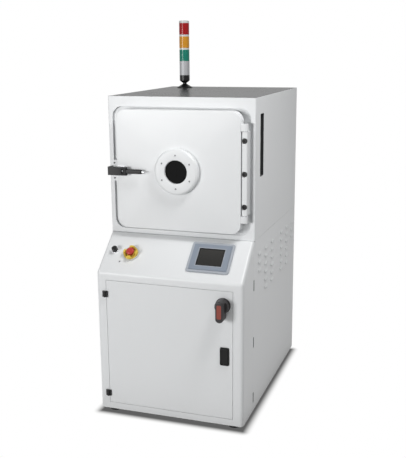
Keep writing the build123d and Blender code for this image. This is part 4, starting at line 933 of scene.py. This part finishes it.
class FinishRear(bpy.types.Operator):
    """Fan guard, cable gland and the screws of the rear panels"""

    bl_idname = "cleaner.finish_rear"
    bl_label = "Finish rear"

    def execute(self, context):
        sizes = settings()[0]
        steel = brushed("guard_wire_steel", (0.66, 0.67, 0.68), (300, 300, 300), rough=0.26)
        new_piece("fan_guard", self.guard(sizes), steel, "cabinet")
        nylon = moulded("gland_nylon_black", (0.016, 0.016, 0.017), rough=0.42, gloss=0.4)
        new_piece("supply_gland", self.gland(), nylon, "cabinet")
        zinc = brushed("panel_screw_zinc", MACHINED, (60, 60, 60), rough=0.3)
        stand_screws("rear_panel_screws", self.edge_points(), BACK, sizes.panel_screw_radius, "cross", zinc,
                     "cabinet", 7)
        stand_screws("fan_guard_screws", self.guard_corners(FAN_SCREW_PROUD), BACK, FAN_SCREW_RADIUS,
                     "cross", zinc, "cabinet", 8)
        return {"FINISHED"}

    def guard_corners(self, proud):
        """The four screw places of the fan, a little proud of the rear panel."""
        centre = middle("fan_frame")
        back = span("rear_panels")[1].y + proud
        return [Vector((centre.x + a * FAN_SCREW_REACH, back, centre.z + b * FAN_SCREW_REACH))
                for a, b in ((1, 1), (-1, 1), (-1, -1), (1, -1))]

    def guard(self, sizes):
        """Wire rings on four spokes that end in eyelets under the screws."""
        centre = middle("fan_frame")
        back = span("rear_panels")[1].y
        wire = sizes.guard_wire
        spoke = ((0.010, 0.0095), (0.030, 0.0092), (0.052, 0.0080), (0.060, 0.0055), (0.0655, 0.0022),
                 (0.0685, wire))
        bm = bmesh.new()
        for radius in GUARD_RINGS:
            lift = back + GUARD_HEIGHT - GUARD_DOME * (radius / GUARD_RINGS[-1]) ** 2
            sweep(bm, [about_y(centre, radius, angle, lift) for angle in turns(64)], wire, closed=True)
        for corner in self.guard_corners(wire):
            out = Vector((corner.x - centre.x, 0, corner.z - centre.z)).normalized()
            sweep(bm, [Vector((centre.x, back + height, centre.z)) + out * distance
                       for distance, height in spoke], wire)
            sweep(bm, [about_y(corner, GUARD_EYELET, angle, corner.y) for angle in turns(24)], wire,
                  closed=True)
        return mesh_from(bm, "fan_guard")

    def gland(self):
        """Hexagonal lock nut and a domed, fluted cap over the closed supply inlet."""
        low, high = span("rear_panels")
        seat = facing(BACK, (GLAND_ACROSS, high.y - 0.0005, low.z + GLAND_HEIGHT))
        bm = bmesh.new()
        lathe(bm, [(0.0, 0.0), (0.0150, 0.0), (0.0150, 0.0045), (0.0142, 0.0055), (0.0, 0.0055)], 6, seat)
        rings = []
        for height, radius, flute in ((0.005, 0.0128, 0.0), (0.0075, 0.0130, 0.0006),
                                      (0.0165, 0.0122, 0.0007), (0.0205, 0.0098, 0.0003),
                                      (0.0222, 0.0062, 0.0)):
            rings.append([bm.verts.new(seat @ about_z(radius + flute * math.cos(12 * angle), angle, height))
                          for angle in turns(48)])
        for lower, upper in zip(rings, rings[1:]):
            join_rings(bm, lower, upper)
        bm.faces.new(list(reversed(rings[0])))
        bm.faces.new(rings[-1])
        return mesh_from(bm, "supply_gland")

    def edge_points(self):
        """Screw places down both sides of each rear panel."""
        low, high = span("rear_panels")
        seam = span("side_panel_upper_left")[0].z
        side = high.x - PANEL_SCREW_SIDE
        points = []
        for bottom, top, count in ((low.z + PANEL_SCREW_INSET, seam - PANEL_SCREW_INSET, 5),
                                   (seam + PANEL_SCREW_INSET, high.z - PANEL_SCREW_TOP, 4)):
            for k in range(count):
                z = bottom + (top - bottom) * k / (count - 1)
                points += [(side, high.y, z), (-side, high.y, z)]
        return points


class SetStage(bpy.types.Operator):
    """Pale floor, white background, softboxes and the camera"""

    bl_idname = "cleaner.set_stage"
    bl_label = "Set stage"

    def execute(self, context):
        studio = settings()[2]
        self.floor()
        self.lamps(studio)
        self.world(studio)
        self.camera(studio)
        context.scene.view_settings.view_transform = "Standard"
        return {"FINISHED"}

    def floor(self):
        """White to the camera away from the cabinet; matt near it, where a painted contact shadow darkens
        the floor to near-black under the cabinet.
        """
        bm = bmesh.new()
        bmesh.ops.create_circle(bm, cap_ends=True, segments=96, radius=FLOOR_RADIUS)
        floor = add_object("studio_floor", mesh_from(bm, "studio_floor"))
        low, high = span("base_pan")
        m = Maker("studio_floor_white")
        beyond_x = m.beyond("X", low.x, high.x).at_least(0)
        beyond_y = m.beyond("Y", low.y, high.y).at_least(0)
        apart = (beyond_x * beyond_x + beyond_y * beyond_y).power(0.5)
        away = apart.smooth(-0.012, 0.045)
        path = m.node("ShaderNodeLightPath").outputs
        seen = (Value(m, path["Is Camera Ray"]) + Value(m, path["Is Glossy Ray"])
                + Value(m, path["Is Transmission Ray"])).clamped()
        # Painted shadow: the floor's colour is near-black under the cabinet, dark just round it and paler
        # farther off
        painted_shadow = m.mix(apart.smooth(0.0, 0.04), (0.012, 0.012, 0.012), (0.30, 0.29, 0.28))
        painted_shadow = m.mix(apart.smooth(0.06, 0.25), painted_shadow, (0.74, 0.74, 0.74))
        matt = m.node("ShaderNodeBsdfDiffuse", {}, {"Color": painted_shadow})
        white = m.node("ShaderNodeEmission", {}, {"Color": (1, 1, 1), "Strength": 1.0})
        whole = m.node("ShaderNodeMixShader", {}, {0: away * seen, 1: matt.outputs[0], 2: white.outputs[0]})
        floor.data.materials.append(m.surface(whole.outputs[0]))

    def lamps(self, studio):
        """A large softbox at the front left and a small one high at the front right."""
        target = Vector(LAMP_TARGET)
        for name, power, azimuth, elevation, distance, size in (
            ("left_softbox", studio.key_power, -26, 6, 7.0, 2.0),
            ("right_softbox", studio.fill_power, 60, 56, 2.9, 0.8),
        ):
            data = bpy.data.lights.new(name, "AREA")
            data.energy = power
            data.size = size
            lamp = add_object(name, data)
            across, rise = math.radians(azimuth), math.radians(elevation)
            level = math.cos(rise)
            away = Vector((math.sin(across) * level, -math.cos(across) * level, math.sin(rise)))
            lamp.location = target + distance * away
            lamp.rotation_euler = away.to_track_quat("Z", "Y").to_euler()

    def world(self, studio):
        """White behind the object, dimmer in its reflections and dimmer still as fill light."""
        world = bpy.data.worlds.new("studio_world")
        bpy.context.scene.world = world
        world.use_nodes = True
        tree = world.node_tree
        tree.nodes.clear()
        path = tree.nodes.new("ShaderNodeLightPath")
        out = tree.nodes.new("ShaderNodeOutputWorld")
        shade_of = []
        for strength in (studio.ambient, studio.reflected, 1.0):
            background = tree.nodes.new("ShaderNodeBackground")
            background.inputs["Color"].default_value = (1, 1, 1, 1)
            background.inputs["Strength"].default_value = strength
            shade_of.append(background)
        shiny = tree.nodes.new("ShaderNodeMixShader")
        whole = tree.nodes.new("ShaderNodeMixShader")
        clear = tree.nodes.new("ShaderNodeMath")
        clear.operation = "MAXIMUM"
        tree.links.new(path.outputs["Is Glossy Ray"], shiny.inputs[0])
        tree.links.new(shade_of[0].outputs[0], shiny.inputs[1])
        tree.links.new(shade_of[1].outputs[0], shiny.inputs[2])
        tree.links.new(path.outputs["Is Camera Ray"], clear.inputs[0])
        tree.links.new(path.outputs["Is Transmission Ray"], clear.inputs[1])
        tree.links.new(clear.outputs[0], whole.inputs[0])
        tree.links.new(shiny.outputs[0], whole.inputs[1])
        tree.links.new(shade_of[2].outputs[0], whole.inputs[2])
        tree.links.new(whole.outputs[0], out.inputs[0])

    def camera(self, studio):
        """The photograph's view."""
        data = bpy.data.cameras.new("photo_camera")
        data.sensor_fit = "VERTICAL"
        data.sensor_height = 36.0
        data.lens = studio.lens
        data.clip_end = 60.0
        yaw, pitch, roll = (math.radians(angle) for angle in (CAMERA_YAW, CAMERA_PITCH, CAMERA_ROLL))
        ahead = Vector((-math.sin(yaw) * math.cos(pitch), math.cos(yaw) * math.cos(pitch), -math.sin(pitch)))
        right = Vector((math.cos(yaw), math.sin(yaw), 0))
        above = right.cross(ahead)
        level = math.cos(roll) * right + math.sin(roll) * above
        upright = -math.sin(roll) * right + math.cos(roll) * above
        turn = Matrix((level, upright, -ahead)).transposed()
        across, back, up = CAMERA_FROM_FRONT
        place = (across, span("upper_front_panel")[0].y + back, up)
        camera = add_object("photo_camera", data)
        camera.matrix_world = Matrix.Translation(place) @ turn.to_4x4()
        bpy.context.scene.camera = camera


OPERATORS = (PaintCabinet, FinishChamber, FinishChamberDoor, FinishLatch, FinishServiceDoor, FinishConsole,
             FinishTower, FinishServices, FinishRear, SetStage)
GROUPS = (CleanerSizes, CleanerColours, CleanerStudio)


class CleanerPanel(bpy.types.Panel):
    """Lists the pieces and their settings"""

    bl_idname = "VIEW3D_PT_cleaner"
    bl_label = "Plasma cleaner"
    bl_space_type = "VIEW_3D"
    bl_region_type = "UI"
    bl_category = "Plasma cleaner"

    def draw(self, context):
        for group in settings():
            box = self.layout.box()
            for name in group.__annotations__:
                box.prop(group, name)
        for operator in OPERATORS:
            self.layout.operator(operator.bl_idname)


def register():
    for group in GROUPS:
        bpy.utils.register_class(group)
    bpy.types.Scene.cleaner_sizes = bpy.props.PointerProperty(type=CleanerSizes)
    bpy.types.Scene.cleaner_colours = bpy.props.PointerProperty(type=CleanerColours)
    bpy.types.Scene.cleaner_studio = bpy.props.PointerProperty(type=CleanerStudio)
    for kind in (*OPERATORS, CleanerPanel):
        bpy.utils.register_class(kind)


def unregister():
    for kind in (CleanerPanel, *reversed(OPERATORS)):
        bpy.utils.unregister_class(kind)
    del bpy.types.Scene.cleaner_studio
    del bpy.types.Scene.cleaner_colours
    del bpy.types.Scene.cleaner_sizes
    for group in reversed(GROUPS):
        bpy.utils.unregister_class(group)


def main():
    register()
    for operator in OPERATORS:
        group, name = operator.bl_idname.split(".")
        getattr(getattr(bpy.ops, group), name)()


if __name__ == "__main__":
    main()
